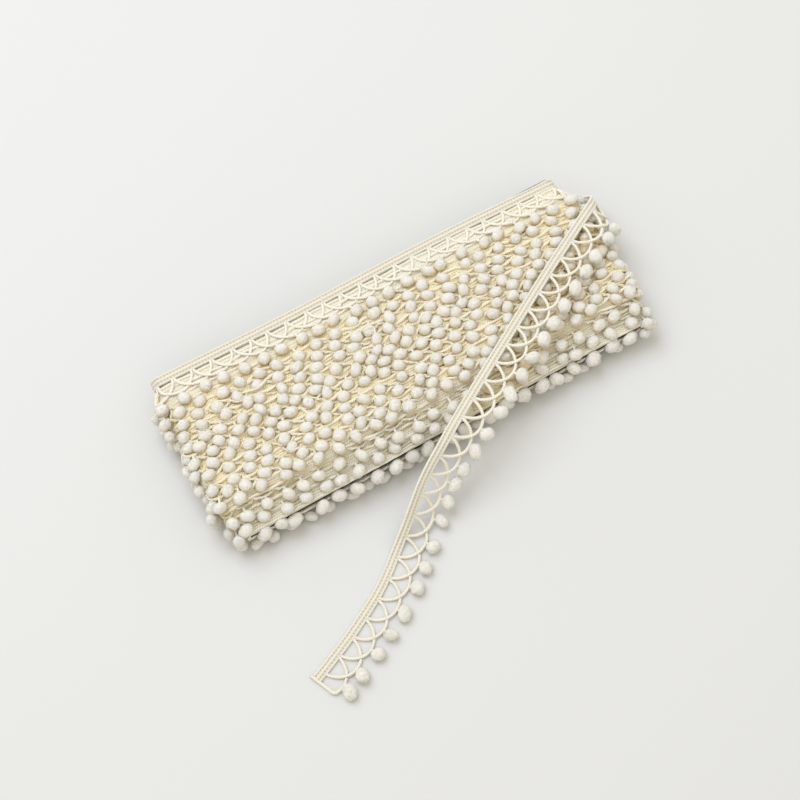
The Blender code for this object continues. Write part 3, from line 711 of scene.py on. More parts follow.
def keep_clear(lines, reach, card=True):
    """Moves cords out of the pompoms and the card. A point nearer to a pompom's centre than the pompom and
    cord reach is moved straight out to there, and each line is then smoothed with weights 1, 2 and 1."""
    points = lines.reshape(-1, 3)
    for _ in range(PUSH_STEPS):
        for start in range(0, len(points), PUSH_BATCH):
            batch = points[start : start + PUSH_BATCH]
            gap = batch[:, None] - centres[None]
            far = np.linalg.norm(gap, axis=-1)
            nearest = far.argmin(axis=1)
            rows = np.arange(len(batch))
            short = np.clip(reach - far[rows, nearest], 0.0, None)
            points[start : start + PUSH_BATCH] = batch + unit(gap[rows, nearest]) * short[:, None]
        lines = points.reshape(lines.shape)
        lines[:, 1:-1] = (lines[:, :-2] + 2 * lines[:, 1:-1] + lines[:, 2:]) / 4
        points = lines.reshape(-1, 3)
    if card:
        on_card = (np.abs(points[:, 0]) < CARD_HALF) & (np.abs(points[:, 2] - CARD_MIDDLE) < CARD_CLEAR)
        side = np.where(points[:, 2] > CARD_MIDDLE, 1.0, -1.0)
        points[:, 2] = np.where(on_card, CARD_MIDDLE + side * CARD_CLEAR, points[:, 2])
    points[:, 2] = np.maximum(points[:, 2], CORD + FLAT_REST)
    return points.reshape(lines.shape)


def scallops(place, at, which, places, slack):
    """Net cords. Cord k starts at bar k - 1 on the heading, dips to its foot under bar k and rises to bar
    k + 1: with t from -1 to 1, its run is sin(90 t) of the way to the next bar and its distance across is
    cos(90 t) to the power 2 SCALLOP_ROUND of the way to the foot. It passes over one neighbour and under
    the other as sin(270 t). Where it is slack it strays, as its dip does."""
    t = np.linspace(-1.0, 1.0, places)
    sway, dip = np.sin(math.pi / 2 * t), np.cos(math.pi / 2 * t).clip(0.0) ** (2 * SCALLOP_ROUND)
    before, here, after = at[which - 1], at[which], at[which + 1]
    span = np.where(t < 0, (here - before)[:, None] - LEG_GAP, (after - here)[:, None] - LEG_GAP)
    run = here[:, None] + span * sway
    across = LEG_START + (SCALLOP_FOOT - LEG_START) * dip
    weave = WEAVE * np.sin(1.5 * math.pi * t) * np.cos(math.pi / 2 * t)
    run = run + slack * STRAY_ALONG * uneven(run + STRAY_LEAN * across, 1.0) * dip
    lift = weave + slack * (SLACK_RISE + STRAY_UP * uneven(run, 2.0)) * dip
    across = across + slack * STRAY_ACROSS * uneven(run, 3.0) * dip
    return place(run, across, lift)


def stems(lines, seats_of):
    """The short cord from a scallop's foot to its pompom, bowed upward: with t from 0 to 1, (1 - t)^2 of
    its start, 2 t (1 - t) of a point over its middle and t^2 of its end."""
    start = lines[:, lines.shape[1] // 2]
    way = seats_of - start
    end = start + way * STEM_END
    middle = start + way * STEM_MIDDLE + np.array((0.0, 0.0, STEM_BOW))
    t = np.linspace(0.0, 1.0, STEM_POINTS)[None, :, None]
    return start[:, None] * (1 - t) ** 2 + 2 * middle[:, None] * t * (1 - t) + end[:, None] * t**2


def tape(place, runs, upper_points, stitched):
    """Heading tape: a flat closed section carried along the run, its upper side sampled evenly from edge to
    edge and its under side half as finely. With s the distance off the middle as a share of the half
    width, its half thickness is (1 - s^4) to the power 1/2. Where its stitches show, a chain along each
    edge and a lower one along the middle stand up on both sides as bell curves whose height goes up and
    down once a stitch, slanting, and between them are two lines of needle holes, one a stitch, the second
    line half a stitch behind. Elsewhere it is pressed wide, strays to either side, and its yarns are
    ridges |cos(180 off / RIDGE)| high. u is the run, v the distance off the middle."""
    upper = np.linspace(-1.0, 1.0, upper_points)
    lower = np.linspace(1.0, -1.0, upper_points // 2)[1:-1]
    share = np.concatenate([upper, lower])
    side = np.concatenate([np.ones(len(upper)), -np.ones(len(lower))])
    off = (HEADING if stitched else WOUND_WIDTH) / 2 * share
    edge = side * np.sqrt(1 - share**4)
    if stitched:
        slant = STITCH_SLANT * (np.abs(off) - CHAIN_OFF)
        stitch = 0.5 + 0.5 * np.cos(TURN * (runs[:, None] + slant) / STITCH)
        chain = np.exp(-(((np.abs(off) - CHAIN_OFF) / CHAIN_HALF) ** 2))
        chain = (chain + MIDDLE_CHAIN * np.exp(-((off / CHAIN_HALF) ** 2))) * CHAIN_RISE
        chain = chain * (1 - STITCH_DIP * (1 - stitch))
        hole = 0.5 + 0.5 * np.cos(TURN * runs[:, None] / STITCH + math.pi * (off > 0))
        pit = PIT_DEEP * np.exp(-(((np.abs(off) - PIT_OFF) / PIT_HALF) ** 2)) * hole
        stray = 0.0
        lift = edge * (HEADING_HALF_THICK + chain - pit)
    else:
        ridge = RIDGE_RISE * np.abs(np.cos(math.pi * off / RIDGE))
        stray = RIDGE_WAVE * uneven(runs[:, None], 4.0)
        lift = np.broadcast_to(edge * (HEADING_HALF_THICK + ridge), (len(runs), len(off)))
    points, _ = place(runs[:, None], off[None] + HEADING / 2 + stray, lift)
    faces, uv = tube_faces(1, len(runs), len(off), runs[None], np.append(off, off[0]))
    return points.reshape(-1, 3), faces, uv, 0.0


def bed(places, first, apart, raised, together, aside, upward, radius, sides, relief):
    """Cords along the whole hank under the pompoms, side by side over a line of places, and turned
    round both ends. An end is an arc of BED_TURN whose radius is half the way from the cord's height to
    the height it turns round to. With w and h irregular values along each, a cord strays by together
    w(shared) + aside w to the side and by upward h outward."""
    arc = np.linspace(BED_TURN, 0.0, BED_TURN_POINTS)
    straight = np.arange(-BED_END + BED_STEP, BED_END, BED_STEP)
    turn = np.concatenate([-arc, np.zeros(len(straight)), arc[::-1]])[None]
    base = np.concatenate([np.full_like(arc, -BED_END), straight, np.full_like(arc, BED_END)])[None]
    across, height, round_to = (np.array(places[column]) for column in ("y", "height", "round_to"))
    profile = np.concatenate(([0.0], np.cumsum(np.hypot(np.diff(across), np.diff(height)))))
    y = np.interp(np.arange(first, profile[-1] - first / 2, apart), profile, across)[:, None]
    order = np.arange(len(y))[:, None]
    top = np.interp(y, across, height) + raised
    fall = top - np.interp(y, across, round_to)
    side, bend = np.sign(fall), np.abs(fall) / 2
    run = base + turn * bend
    out = np.stack(np.broadcast_arrays(np.sin(turn), 0.0 * run, side * np.cos(turn)), axis=-1)
    calm = np.clip((y - across[0]) / CALM_TO, CALM_LEAST, 1.0)
    shared, own = BED_SEEDS[0], BED_SEEDS[1] * order
    stray = calm * (together * uneven(run + BED_SHIFT * order, shared) + aside * uneven(run, own))
    reach = bend + upward * uneven(run, own + shared)
    x = base + reach * np.sin(turn)
    z = top + side * (reach * np.cos(turn) - bend + crown(x) * (turn == 0.0))
    lines = np.stack(np.broadcast_arrays(x, y + stray + wander(x), z), axis=-1)
    return cords(keep_clear(lines.copy(), POMPOM_SHORT + radius), out, sides, relief, radius)


def balls(middles, longways, ups, sizes, around, rings, strands, rim, seed):
    """Pompoms: ovals of wound yarn, all at once. A ball's poles lie on its long axis. With p from pole to
    pole and q round it, its shape is the oval's, with sin(p) to the power BLUNT, times strands that turn
    with it, 1 + STRAND |cos(n / 2 (q + STRAND_TWIST p))| sin(p), times low swellings, the sum of waves in a
    few fixed directions that start at a place of its own. Away from its top it takes painted shade, by rim."""
    own = np.random.default_rng(seed)
    p = math.pi * np.arange(1, rings + 1) / (rings + 1)
    q = TURN * np.arange(around) / around
    p_all = np.concatenate([[0.0], np.repeat(p, around), [math.pi]])
    q_all = np.concatenate([[0.0], np.tile(q, rings), [0.0]])
    blunt = np.sin(p_all) ** BLUNT
    out = np.stack([blunt * np.cos(q_all), blunt * np.sin(q_all), np.cos(p_all)], axis=-1)
    waves = unit(own.normal(size=(LUMP_WAVES, 3))) * own.uniform(*LUMP_RANGE, (LUMP_WAVES, 1))
    start = own.uniform(0.0, TURN, (len(middles), 1, LUMP_WAVES))
    lumps = 1 + LUMP * np.cos(out @ waves.T + start).sum(axis=-1)
    grooves = 1 + STRAND * np.abs(np.cos(strands / 2 * (q_all + STRAND_TWIST * p_all))) * np.sin(p_all)
    shape = out * sizes[:, None] * (lumps * grooves)[..., None]
    x = unit(np.cross(ups, longways))
    z = unit(longways)
    y = np.cross(z, x)
    axes = np.stack([x, y, z], axis=1)
    turned_out = shape @ axes
    points = middles[:, None] + turned_out
    rim_shade = rim * np.clip((RIM_FROM - unit(turned_out)[..., 2]) / (RIM_FROM - RIM_TO), 0.0, 1.0)
    count = rings * around + 2
    b, i, j = np.meshgrid(np.arange(len(middles)), np.arange(rings - 1), np.arange(around), indexing="ij")
    here, turn = b * count + 1 + i * around, (j + 1) % around
    quads = np.stack([here + j, here + around + j, here + around + turn, here + turn], axis=-1)
    u = np.stack([j, j, j + 1, j + 1], axis=-1) / around
    v = np.stack([i, i + 1, i + 1, i], axis=-1) / (rings - 1)
    b, j = np.meshgrid(np.arange(len(middles)), np.arange(around), indexing="ij")
    first, last = b * count, (b + 1) * count - 1
    top = np.stack([first, first + 1 + j, first + 1 + (j + 1) % around], axis=-1)
    low = last - around
    bottom = np.stack([low + j, last, low + (j + 1) % around], axis=-1)
    caps = np.concatenate([top.reshape(-1, 3), bottom.reshape(-1, 3)])
    cap_uv = np.stack([np.stack([j, j, j + 1], axis=-1) / around, np.zeros((*j.shape, 3))], axis=-1)
    cap_uv = np.concatenate([cap_uv.reshape(-1, 3, 2)] * 2)
    quad_uv = np.stack([u, v], axis=-1).reshape(-1, 4, 2)
    return points.reshape(-1, 3), [quads.reshape(-1, 4), caps], [quad_uv, cap_uv], rim_shade.ravel()


def ball_hairs(middles, longways, ups, sizes, fibres, rim, seed):
    """Fibres at random places all over some pompoms, each on the pompom's oval."""
    own = np.random.default_rng(seed)
    x, z = unit(np.cross(ups, longways)), unit(longways)
    axes = np.stack([x, np.cross(z, x), z], axis=1)
    way = unit(own.normal(size=(len(middles), fibres, 3)))
    outs = (way @ axes).reshape(-1, 3)
    bases = (middles[:, None] + (way * sizes[:, None]) @ axes).reshape(-1, 3)
    # The fibres take the same painted shade as the balls' sides.
    rim_shade = rim * np.clip((RIM_FROM - outs[:, 2]) / (RIM_FROM - RIM_TO), 0.0, 1.0)
    return hairs(bases, outs, POMPOM_HAIR, rim_shade, seed)


# ---------------------------------------------------------------- finishes


def linear(code):
    """An sRGB hex colour as linear red, green, blue and alpha."""
    values = [int(code[i : i + 2], 16) / 255 for i in (1, 3, 5)]
    return (*(v / 12.92 if v <= 0.04045 else ((v + 0.055) / 1.055) ** 2.4 for v in values), 1.0)


def per(size):
    """Texture scale at which a pattern repeats about every size millimetres of an object."""
    return 1.0 / (size * MM)


def new_material(name):
    """A new material, its node tree and its shader."""
    material = bpy.data.materials.new(name)
    material.use_nodes = True
    tree = material.node_tree
    return material, tree, tree.nodes["Principled BSDF"]


def add(tree, kind, inputs, output=0, **settings):
    """Adds a shader node with its settings, and returns one of its outputs. inputs is a tuple, in the order
    of the node's own, or a dict by name or number, as for Mix, whose colours are its inputs 6 and 7. An
    input takes a value, an sRGB hex colour, or the socket that it is linked to."""
    made = tree.nodes.new("ShaderNode" + kind)
    for key, value in settings.items():
        setattr(made, key, value)
    for key, value in inputs.items() if isinstance(inputs, dict) else enumerate(inputs):
        if isinstance(value, bpy.types.NodeSocket):
            tree.links.new(value, made.inputs[key])
        else:
            made.inputs[key].default_value = linear(value) if isinstance(value, str) else value
    return made.outputs[output]


def link_finish(tree, shader, colour, height, strength, distance):
    """Gives the shader its colour, and a bump of this distance in millimetres."""
    bump = add(tree, "Bump", {"Strength": strength, "Distance": distance * MM, "Height": height})
    tree.links.new(colour, shader.inputs["Base Color"])
    tree.links.new(bump, shader.inputs["Normal"])


def soft_cotton(shader, sheen):
    """Cotton fibre: rough, with the pale fuzz that shows at grazing angles and a little light let through."""
    shader.inputs["Roughness"].default_value = 0.9
    shader.inputs["IOR"].default_value = 1.5
    shader.inputs["Specular IOR Level"].default_value = 0.3
    shader.inputs["Sheen Weight"].default_value = sheen
    shader.inputs["Sheen Roughness"].default_value = 0.5
    shader.inputs["Subsurface Weight"].default_value = 0.3
    shader.inputs["Subsurface Radius"].default_value = (1.0, 0.85, 0.6)
    shader.inputs["Subsurface Scale"].default_value = 1.2 * MM


def plied_cotton_cord():
    """Two-ply bleached cotton cord: slanting plies with grooves between painted darker as shade, and loose
    fibres. Inside the hank the cord is painted golden, as shade and light that has gone from cord to cord."""
    material, tree, shader = new_material("two_ply_cotton_cord")
    soft_cotton(shader, 0.2)
    run = add(tree, "SeparateXYZ", (add(tree, "TexCoord", (), "UV"),), "X")
    round_v = add(tree, "SeparateXYZ", (add(tree, "TexCoord", (), "UV"),), "Y")
    turns = add(tree, "Math", (run, PLY_TURN), operation="DIVIDE")
    turn = add(tree, "Math", (round_v, turns), operation="SUBTRACT")
    angle = add(tree, "Math", (turn, 2 * TURN), operation="MULTIPLY")
    ply = add(tree, "Math", (angle,), operation="COSINE")
    crest = add(tree, "Math", (ply, 0.5, 0.5), operation="MULTIPLY_ADD")
    lengthways = add(tree, "Math", (run, CORD_FIBRE_LONG), operation="DIVIDE")
    crossways = add(tree, "Math", (turn, CORD_FIBRES_ROUND), operation="MULTIPLY")
    stretched = add(tree, "CombineXYZ", (lengthways, crossways))
    fibre = add(tree, "TexNoise", {"Vector": stretched, "Scale": 1.0, "Detail": 2.0})
    place = add(tree, "TexCoord", (), "Object")
    patches = add(tree, "TexNoise", {"Vector": place, "Scale": per(CORD_PATCH), "Detail": 1.0})
    faded = add(tree, "Math", (patches, CORD_FADE), operation="MULTIPLY")
    # Painted shade: the grooves between the plies darker, and deep in the hank a golden shade.
    open_colour = add(tree, "Mix", {0: crest, 6: "#dfd8c5", 7: "#f0ece1"}, 2, data_type="RGBA")
    golden_shade_colour = add(tree, "Mix", {0: crest, 6: "#efd693", 7: "#faf0ca"}, 2, data_type="RGBA")
    painted_shade = add(tree, "Attribute", (), "Fac", attribute_name="painted_shade")
    colour = add(tree, "Mix", {0: painted_shade, 6: open_colour, 7: golden_shade_colour}, 2, data_type="RGBA")
    colour = add(tree, "Mix", {0: faded, 6: colour, 7: "#ece3cd"}, 2, data_type="RGBA")
    height = add(tree, "Math", (crest, PLY_HIGH), operation="MULTIPLY")
    height = add(tree, "Math", (height, fibre), operation="ADD")
    link_finish(tree, shader, colour, height, strength=0.6, distance=0.16)
    return material


def chained_cotton_tape():
    """Chain-stitched heading of the same cotton: two raised lines of slanting yarn and a third between
    them, and two lines of needle holes, one a stitch, whose inside is in shade. A hole is round: a bell
    curve across the tape times a cosine along it."""
    material, tree, shader = new_material("chain_stitched_cotton")
    soft_cotton(shader, 0.2)
    run = add(tree, "SeparateXYZ", (add(tree, "TexCoord", (), "UV"),), "X")
    off = add(tree, "SeparateXYZ", (add(tree, "TexCoord", (), "UV"),), "Y")
    aside = add(tree, "Math", (off,), operation="ABSOLUTE")
    from_line = add(tree, "Math", (aside, PIT_OFF), operation="SUBTRACT")
    from_line = add(tree, "Math", (from_line, PIT_HALF), operation="DIVIDE")
    square = add(tree, "Math", (from_line, from_line), operation="MULTIPLY")
    minus_square = add(tree, "Math", (square, -1.0), operation="MULTIPLY")
    line = add(tree, "Math", (minus_square,), operation="EXPONENT")
    beyond = add(tree, "Math", (off, 0.0), operation="GREATER_THAN")
    behind = add(tree, "Math", (beyond, math.pi), operation="MULTIPLY")
    stitch = add(tree, "Math", (run, TURN / STITCH), operation="MULTIPLY")
    stitch = add(tree, "Math", (stitch, behind), operation="ADD")
    along_line = add(tree, "Math", (stitch,), operation="COSINE")
    along_line = add(tree, "Math", (along_line, 0.0), operation="MAXIMUM")
    along_line = add(tree, "Math", (along_line, HOLE_SHORT), operation="POWER")
    hole = add(tree, "Math", (line, along_line), operation="MULTIPLY")
    slant = add(tree, "Math", (run, aside), operation="ADD")
    slant = add(tree, "Math", (slant, TURN / STITCH * YARNS), operation="MULTIPLY")
    yarn = add(tree, "Math", (slant,), operation="SINE")
    place = add(tree, "TexCoord", (), "Object")
    fibre = add(tree, "TexNoise", {"Vector": place, "Scale": per(TAPE_FIBRE), "Detail": 3.0})
    at_edge = add(tree, "Math", (aside, CHAIN_OFF - CHAIN_HALF), operation="GREATER_THAN")
    at_middle = add(tree, "Math", (aside, CHAIN_HALF), operation="LESS_THAN")
    raised = add(tree, "Math", (at_edge, at_middle), operation="MAXIMUM")
    # Painted shade: the tape between the chains darker than the chains, and the holes' inside darker still.
    groove = add(tree, "Mix", {0: fibre, 6: "#d5ceba", 7: "#e1dac9"}, 2, data_type="RGBA")
    chain = add(tree, "Mix", {0: fibre, 6: "#dfdaca", 7: "#ece9de"}, 2, data_type="RGBA")
    open_colour = add(tree, "Mix", {0: raised, 6: groove, 7: chain}, 2, data_type="RGBA")
    shade = add(tree, "Math", (hole, HOLE_SHADE), operation="MULTIPLY")
    open_colour = add(tree, "Mix", {0: shade, 6: open_colour, 7: "#a0947a"}, 2, data_type="RGBA")
    # Golden painted shade deep in the hank, darker between the pressed tape's ridges.
    ridge = add(tree, "Math", (off, math.pi / RIDGE), operation="MULTIPLY")
    ridge = add(tree, "Math", (ridge,), operation="COSINE")
    ridge = add(tree, "Math", (ridge,), operation="ABSOLUTE")
    golden_shade_colour = add(tree, "Mix", {0: ridge, 6: "#eed596", 7: "#f7ebc9"}, 2, data_type="RGBA")
    painted_shade = add(tree, "Attribute", (), "Fac", attribute_name="painted_shade")
    colour = add(tree, "Mix", {0: painted_shade, 6: open_colour, 7: golden_shade_colour}, 2, data_type="RGBA")
    yarn_height = add(tree, "Math", (yarn, YARN_HIGH, fibre), operation="MULTIPLY_ADD")
    hole_depth = add(tree, "Math", (hole, HOLE_DEEP), operation="MULTIPLY")
    height = add(tree, "Math", (yarn_height, hole_depth), operation="SUBTRACT")
    link_finish(tree, shader, colour, height, strength=0.7, distance=0.22)
    return material


def wound_cotton_pompom(name, groove, crest):
    """Pompoms of soft, thick, almost white cotton yarn: about sixteen strands from pole to pole, felted
    together by handling so that the grooves between them are shallow, and tufts of fibre. The grooves are
    painted darker and creamier as shade, and the sides and the hank's deep places take a golden painted
    shade."""
    material, tree, shader = new_material(name)
    soft_cotton(shader, 0.3)
    around = add(tree, "SeparateXYZ", (add(tree, "TexCoord", (), "UV"),), "X")
    from_pole = add(tree, "SeparateXYZ", (add(tree, "TexCoord", (), "UV"),), "Y")
    place = add(tree, "TexCoord", (), "Object")
    tufts = add(tree, "TexNoise", {"Vector": place, "Scale": per(TUFT), "Detail": 3.0})
    turn = add(tree, "Math", (from_pole, YARN_TWIST, around), operation="MULTIPLY_ADD")
    straight = add(tree, "Math", (turn, YARN_STRANDS / 2 * TURN), operation="MULTIPLY")
    bent = add(tree, "Math", (tufts, YARN_BEND, straight), operation="MULTIPLY_ADD")
    wave = add(tree, "Math", (bent,), operation="SINE")
    wave = add(tree, "Math", (wave,), operation="ABSOLUTE")
    strand = add(tree, "Math", (wave, YARN_BROAD), operation="POWER")
    crossways = add(tree, "Math", (turn, POMPOM_FIBRES_ROUND), operation="MULTIPLY")
    lengthways = add(tree, "Math", (from_pole, POMPOM_FIBRES_LONG), operation="MULTIPLY")
    stretched = add(tree, "CombineXYZ", (crossways, lengthways))
    fibre = add(tree, "TexNoise", {"Vector": stretched, "Scale": 1.0, "Detail": 2.0})
    tufted = add(tree, "Math", (tufts, TUFT_SHOWS), operation="MULTIPLY")
    tufted = add(tree, "Math", (tufted, FELT_LOW), operation="SUBTRACT")
    crests = add(tree, "Math", (strand, STRAND_SHOWS), operation="MULTIPLY")
    felted = add(tree, "Math", (crests, tufted), operation="ADD")
    # Painted shade: the grooves darker, and a golden shade on the sides and deep in the hank.
    open_colour = add(tree, "Mix", {0: felted, 6: groove, 7: crest}, 2, data_type="RGBA")
    painted_shade = add(tree, "Attribute", (), "Fac", attribute_name="painted_shade")
    colour = add(tree, "Mix", {0: painted_shade, 6: open_colour, 7: "#f3da9c"}, 2, data_type="RGBA")
    height = add(tree, "Math", (strand, tufts), operation="ADD")
    height = add(tree, "Math", (height, fibre), operation="ADD")
    link_finish(tree, shader, colour, height, strength=0.85, distance=0.42)
    return material


def pale_board():
    """Grey-beige pulp board, pressed and cut: mottled faces, and a cut edge and a thin line along its front
    and back rims painted near black, as painted shade for the narrow gap along the card's edges."""
    material, tree, shader = new_material("grey_pulp_board")
    shader.inputs["Roughness"].default_value = 0.8
    place = add(tree, "TexCoord", (), "Object")
    pulp = add(tree, "TexNoise", {"Vector": place, "Scale": per(PULP), "Detail": 4.0})
    damp = add(tree, "TexNoise", {"Vector": place, "Scale": per(DAMP), "Detail": 2.0})
    upward = add(tree, "SeparateXYZ", (add(tree, "TexCoord", (), "Normal"),), "Z")
    upward = add(tree, "Math", (upward,), operation="ABSOLUTE")
    face = add(tree, "Math", (upward, 0.5), operation="GREATER_THAN")
    # Painted shade: the cut edge and a thin band along the front and back rims are near black.
    y = add(tree, "SeparateXYZ", (place,), "Y")
    front = add(tree, "Math", (y, (CARD_FRONT + FRONT_RIM) * MM), operation="GREATER_THAN")
    back = add(tree, "Math", (y, (CARD_BACK - BACK_RIM) * MM), operation="LESS_THAN")
    unshaded_face = add(tree, "Math", (front, back), operation="MULTIPLY")
    unshaded_face = add(tree, "Math", (face, unshaded_face), operation="MULTIPLY")
    mottle = add(tree, "Math", (pulp, damp), operation="ADD")
    mottle = add(tree, "Math", (mottle, 0.5), operation="MULTIPLY")
    face_colour = add(tree, "Mix", {0: mottle, 6: "#e6dfcb", 7: "#fbf7ec"}, 2, data_type="RGBA")
    edge_colour = add(tree, "Mix", {0: pulp, 6: "#1a1006", 7: "#2e2010"}, 2, data_type="RGBA")
    colour = add(tree, "Mix", {0: unshaded_face, 6: edge_colour, 7: face_colour}, 2, data_type="RGBA")
    link_finish(tree, shader, colour, pulp, strength=0.3, distance=0.1)
    return material


CORD_FINISH = plied_cotton_cord()
TAPE_FINISH = chained_cotton_tape()
POMPOM_FINISH = wound_cotton_pompom("soft_cotton_pompom_yarn", "#e7dfce", "#fefcf7")
# The loose end's pompoms take a copy painted a little darker: painted shade, for the hank's shadow that they
# lie in.
LOOSE_POMPOM_FINISH = wound_cotton_pompom("shaded_copy_cotton_pompom_yarn", "#e3dbc8", "#fdfbf5")

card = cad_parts["winding_card"]
card.data.materials.clear()
card.data.materials.append(pale_board())

# ---------------------------------------------------------------- the pieces


def add_to_hank(name, parts, *materials, slot, solid, beyond=0.0):
    """A piece that rides on the trim's one body and stands for the solid named."""
    piece = add_piece(name, parts, *materials, beyond=beyond)
    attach(piece, "root")
    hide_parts(solid)
    return piece


all_bars = np.arange(1, len(bars) - 1)
turned = np.interp(bars, KNOTS[0], KNOTS[2])
lap_of = np.floor((bars + LOOP / 2) / LAP).astype(int).clip(0, LAPS - 1)
on_top = np.cos(turned) > TOP_SHARE
last_start, last_end = (LAPS - 1) * LAP - LOOP / 2, (LAPS - 1) * LAP + 2 * CARD_HALF + LOOP / 2
is_last = (bars > last_start) & (bars < last_end)
reach = POMPOM_SHORT + CORD

net = {}
for kind, chosen in (("top", on_top & ~is_last), ("under", ~on_top & ~is_last), ("last", is_last)):
    which = all_bars[chosen[1:-1]]
    lines, ups = scallops(wound, bars, which, **SCALLOPS[kind])
    net[kind] = {"which": which, "lines": keep_clear(lines, reach), "ups": ups}

wound_runs = np.arange(FIRST_RUN - TAPE_BEFORE, last_start, PRESSED_STEP)
after_runs = np.arange(last_end, LAST_RUN + TAPE_AFTER, PRESSED_STEP)
pressed_tape = [tape(wound, runs, PRESSED_POINTS, stitched=False) for runs in (wound_runs, after_runs)]
top_lines, top_ups = net["top"]["lines"], net["top"]["ups"]
wound_net = [
    slack_cords(top_lines, top_ups),
    cord_hairs(top_lines, top_ups, CORD, **WOUND_FIBRES),
    cords(net["under"]["lines"], net["under"]["ups"], HIDDEN_SIDES),
]
beneath = [bed(**layer) for layer in BED_LAYERS]
in_laps = {"slot": "cotton_cord", "solid": "wound_laps", "beyond": CORD_REACH}
add_to_hank("wound_headings", pressed_tape, TAPE_FINISH, **in_laps)
add_to_hank("wound_net", wound_net, CORD_FINISH, **in_laps)
add_to_hank("net_beneath", beneath, CORD_FINISH, **in_laps)

last_runs = np.arange(last_start, last_end, TAPE_STEP)
last_tape = [tape(wound, last_runs, TAPE_POINTS, stitched=True)]
last_lines, last_ups = net["last"]["lines"], net["last"]["ups"]
last_net = [
    cords(last_lines, last_ups, SHOWN_SIDES, PLY_RELIEF),
    cord_hairs(last_lines, last_ups, CORD, **LAST_FIBRES),
]
add_to_hank("last_lap_tape", last_tape, TAPE_FINISH, slot="cotton_cord", solid="last_lap_heading")
add_to_hank("last_lap_net", last_net, CORD_FINISH, slot="cotton_cord", solid="last_lap_heading")


def long_axes(middles, ups, along):
    """Long axes of the pompoms: mostly along the trim, swung to either side and tilted by random angles."""
    side = unit(np.cross(along, ups))
    swing = rng.normal(0.0, SWING, len(middles))[:, None]
    tilt = rng.normal(0.0, TILT, len(middles))[:, None]
    return unit(np.cos(swing) * along + np.sin(swing) * side + tilt * ups)


def trim_direction(place, at):
    """Direction of the trim at its pompoms."""
    return unit(place(at + AXIS_STEP, POMPOM_ACROSS)[0] - place(at - AXIS_STEP, POMPOM_ACROSS)[0])


directions = np.concatenate([trim_direction(wound, bars), trim_direction(loose, loose_bars)])
longways = long_axes(centres, outs, directions)
sizes = np.tile((POMPOM_SHORT, POMPOM_SHORT, POMPOM_LONG), (len(centres), 1))
sizes = sizes * (1 + rng.normal(0.0, SIZE_UNEVEN, sizes.shape)).clip(*SIZE_RANGE)
in_front = np.concatenate([bars < -LOOP, np.zeros(len(loose_bars), bool)])
in_front &= centres[:, 2] < CARD_MIDDLE - FRONT_BELOW
sizes[in_front] *= FRONT_SWELL
sizes[~is_wound] *= LOOSE_SWELL


def pompom_parts(chosen, around, rings, strands, fibres, rim, seed):
    """Some pompoms, and the fibres that stand out of them."""
    mine = (centres[chosen], longways[chosen], outs[chosen], sizes[chosen])
    return [balls(*mine, around, rings, strands, rim, seed), ball_hairs(*mine, fibres, rim, seed)]


def stem_parts(chosen, lines, *finish):
    """Stems from the feet of some scallops to their pompoms, made with the sides and relief given."""
    curves = stems(lines, centres[chosen])
    return cords(curves, np.broadcast_to(outs[chosen][:, None], curves.shape), *finish)


def wound_stems(kind, keep):
    """Stems of one part of the net, for the bars that keep chooses."""
    which = net[kind]["which"]
    rows = keep[which]
    return stem_parts(which[rows], net[kind]["lines"][rows], HIDDEN_SIDES)


for lap in range(LAPS):
    name = f"lap_{lap + 1:02d}"
    mine = on_top & (lap_of == lap)
    kinds = ("top", "last") if lap == LAPS - 1 else ("top",)
    balls_of_lap = pompom_parts(np.flatnonzero(mine), **TOP_POMPOM, seed=lap)
    stems_of_lap = [wound_stems(kind, mine) for kind in kinds]
    add_to_hank(f"{name}_pompoms", balls_of_lap, POMPOM_FINISH, slot="cotton_pompom", solid=f"{name}_fringe")
    add_to_hank(f"{name}_stems", stems_of_lap, CORD_FINISH, slot="cotton_cord", solid=f"{name}_fringe")
under_balls = pompom_parts(np.flatnonzero(~on_top), **UNDER_POMPOM, seed=LAPS)
under_stems = [wound_stems("under", ~on_top)]
add_to_hank("underside_pompoms", under_balls, POMPOM_FINISH, slot="cotton_pompom", solid="underside_fringe")
add_to_hank("underside_stems", under_stems, CORD_FINISH, slot="cotton_cord", solid="underside_fringe")

# The loose end: tape and net are one cloth, with its pompoms in three lengths.
before, after = loose_bars[0] - LOOSE_PITCH, LOOSE_LENGTH + LOOSE_PITCH - LOOSE_TIP
loose_all = np.concatenate([[before], loose_bars, [after]])
loose_lines, loose_ups = scallops(loose, loose_all, np.arange(1, len(loose_all) - 1), **SCALLOPS["loose"])
loose_lines = keep_clear(loose_lines, reach - LOOSE_PRESS, card=False)
tape_runs = np.arange(loose_bars[0] - HIDDEN_TAPE, LOOSE_LENGTH, TAPE_STEP)
cloth_parts = [
    tape(loose, tape_runs, TAPE_POINTS, stitched=True),
    cords(loose_lines, loose_ups, SHOWN_SIDES, PLY_RELIEF, LOOSE_CORD),
    cord_hairs(loose_lines, loose_ups, LOOSE_CORD, **LOOSE_FIBRES),
]
loose_cloth = add_to_hank(
    "loose_end_cloth", cloth_parts, TAPE_FINISH, CORD_FINISH, slot="cotton_cord", solid="loose_end_heading"
)
loose_pieces = []
first, end = 0, HIDDEN_POMPOMS
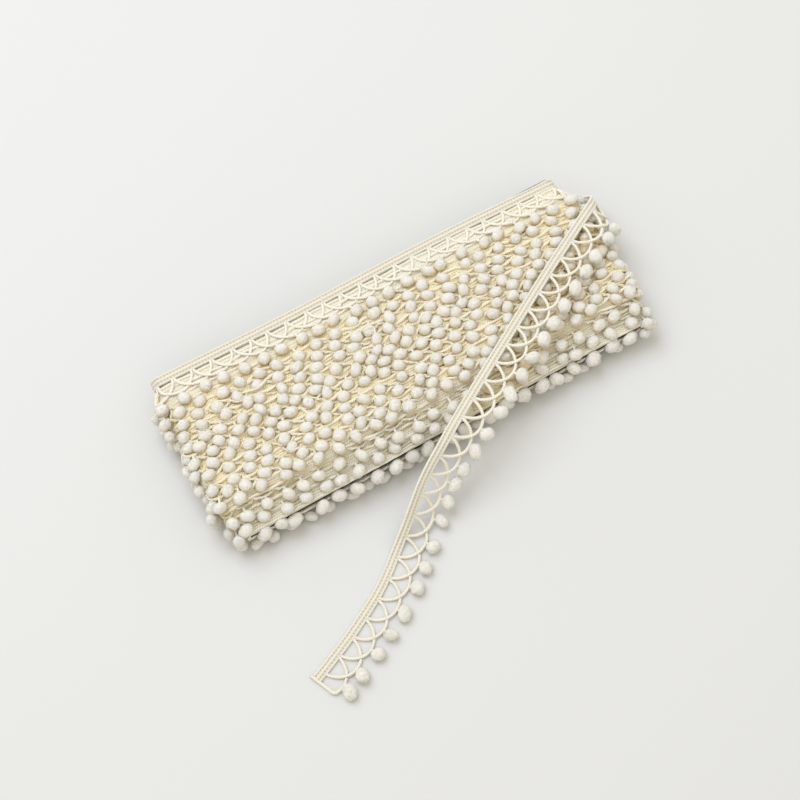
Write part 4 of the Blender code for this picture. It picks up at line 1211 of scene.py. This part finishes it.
for stretch, count in LOOSE_POMPOMS.items():
    end += count
    mine = len(bars) + np.arange(first, end)
    tufts = pompom_parts(mine, **LOOSE_POMPOM, seed=LOOSE_SEED + first)
    stalks = [stem_parts(mine, loose_lines[first:end], SHOWN_SIDES, PLY_RELIEF)]
    name, solid = f"loose_end_pompoms_{stretch}", f"loose_end_fringe_{stretch}"
    loose_pieces += [
        add_to_hank(name, tufts, LOOSE_POMPOM_FINISH, slot="cotton_pompom", solid=solid),
        add_to_hank(f"loose_end_stems_{stretch}", stalks, CORD_FINISH, slot="cotton_cord", solid=solid),
    ]
    first = end

# ---------------------------------------------------------------- floor and light


def plain_finish(name, code):
    """One plain matt colour."""
    material, _, shader = new_material(name)
    shader.inputs["Base Color"].default_value = linear(code)
    shader.inputs["Roughness"].default_value = 0.9
    return material


def softbox(name, azimuth, elevation, distance, size, power, code):
    """A square area light that looks at the hank from an azimuth and elevation, in metres and watts."""
    data = bpy.data.lights.new(name, "AREA")
    data.size = size
    data.energy = power
    data.color = linear(code)[:3]
    obj = bpy.data.objects.new(name, data)
    bpy.context.scene.collection.objects.link(obj)
    aim(obj, away(azimuth, elevation) * distance, (0.0, 0.0, 0.0))


FLOOR_HALF = 2.5  # metres
floor_corners = [(x * FLOOR_HALF, y * FLOOR_HALF, 0.0) for x, y in ((-1, -1), (1, -1), (1, 1), (-1, 1))]
floor_mesh = bpy.data.meshes.new("studio_floor")
floor_mesh.from_pydata(floor_corners, [], [(0, 1, 2, 3)])
floor_mesh.materials.append(plain_finish("matt_studio_paper", "#d5d5d3"))
floor = bpy.data.objects.new("studio_floor", floor_mesh)
bpy.context.scene.collection.objects.link(floor)

softbox("window_light", azimuth=198.0, elevation=61.0, distance=1.5, size=1.1, power=14.0, code="#e8eeff")
world = bpy.data.worlds.new("studio")
world.use_nodes = True
world.node_tree.nodes["Background"].inputs["Color"].default_value = linear("#f4f1e7")
world.node_tree.nodes["Background"].inputs["Strength"].default_value = 0.97
bpy.context.scene.world = world
bpy.context.scene.view_settings.view_transform = "Standard"
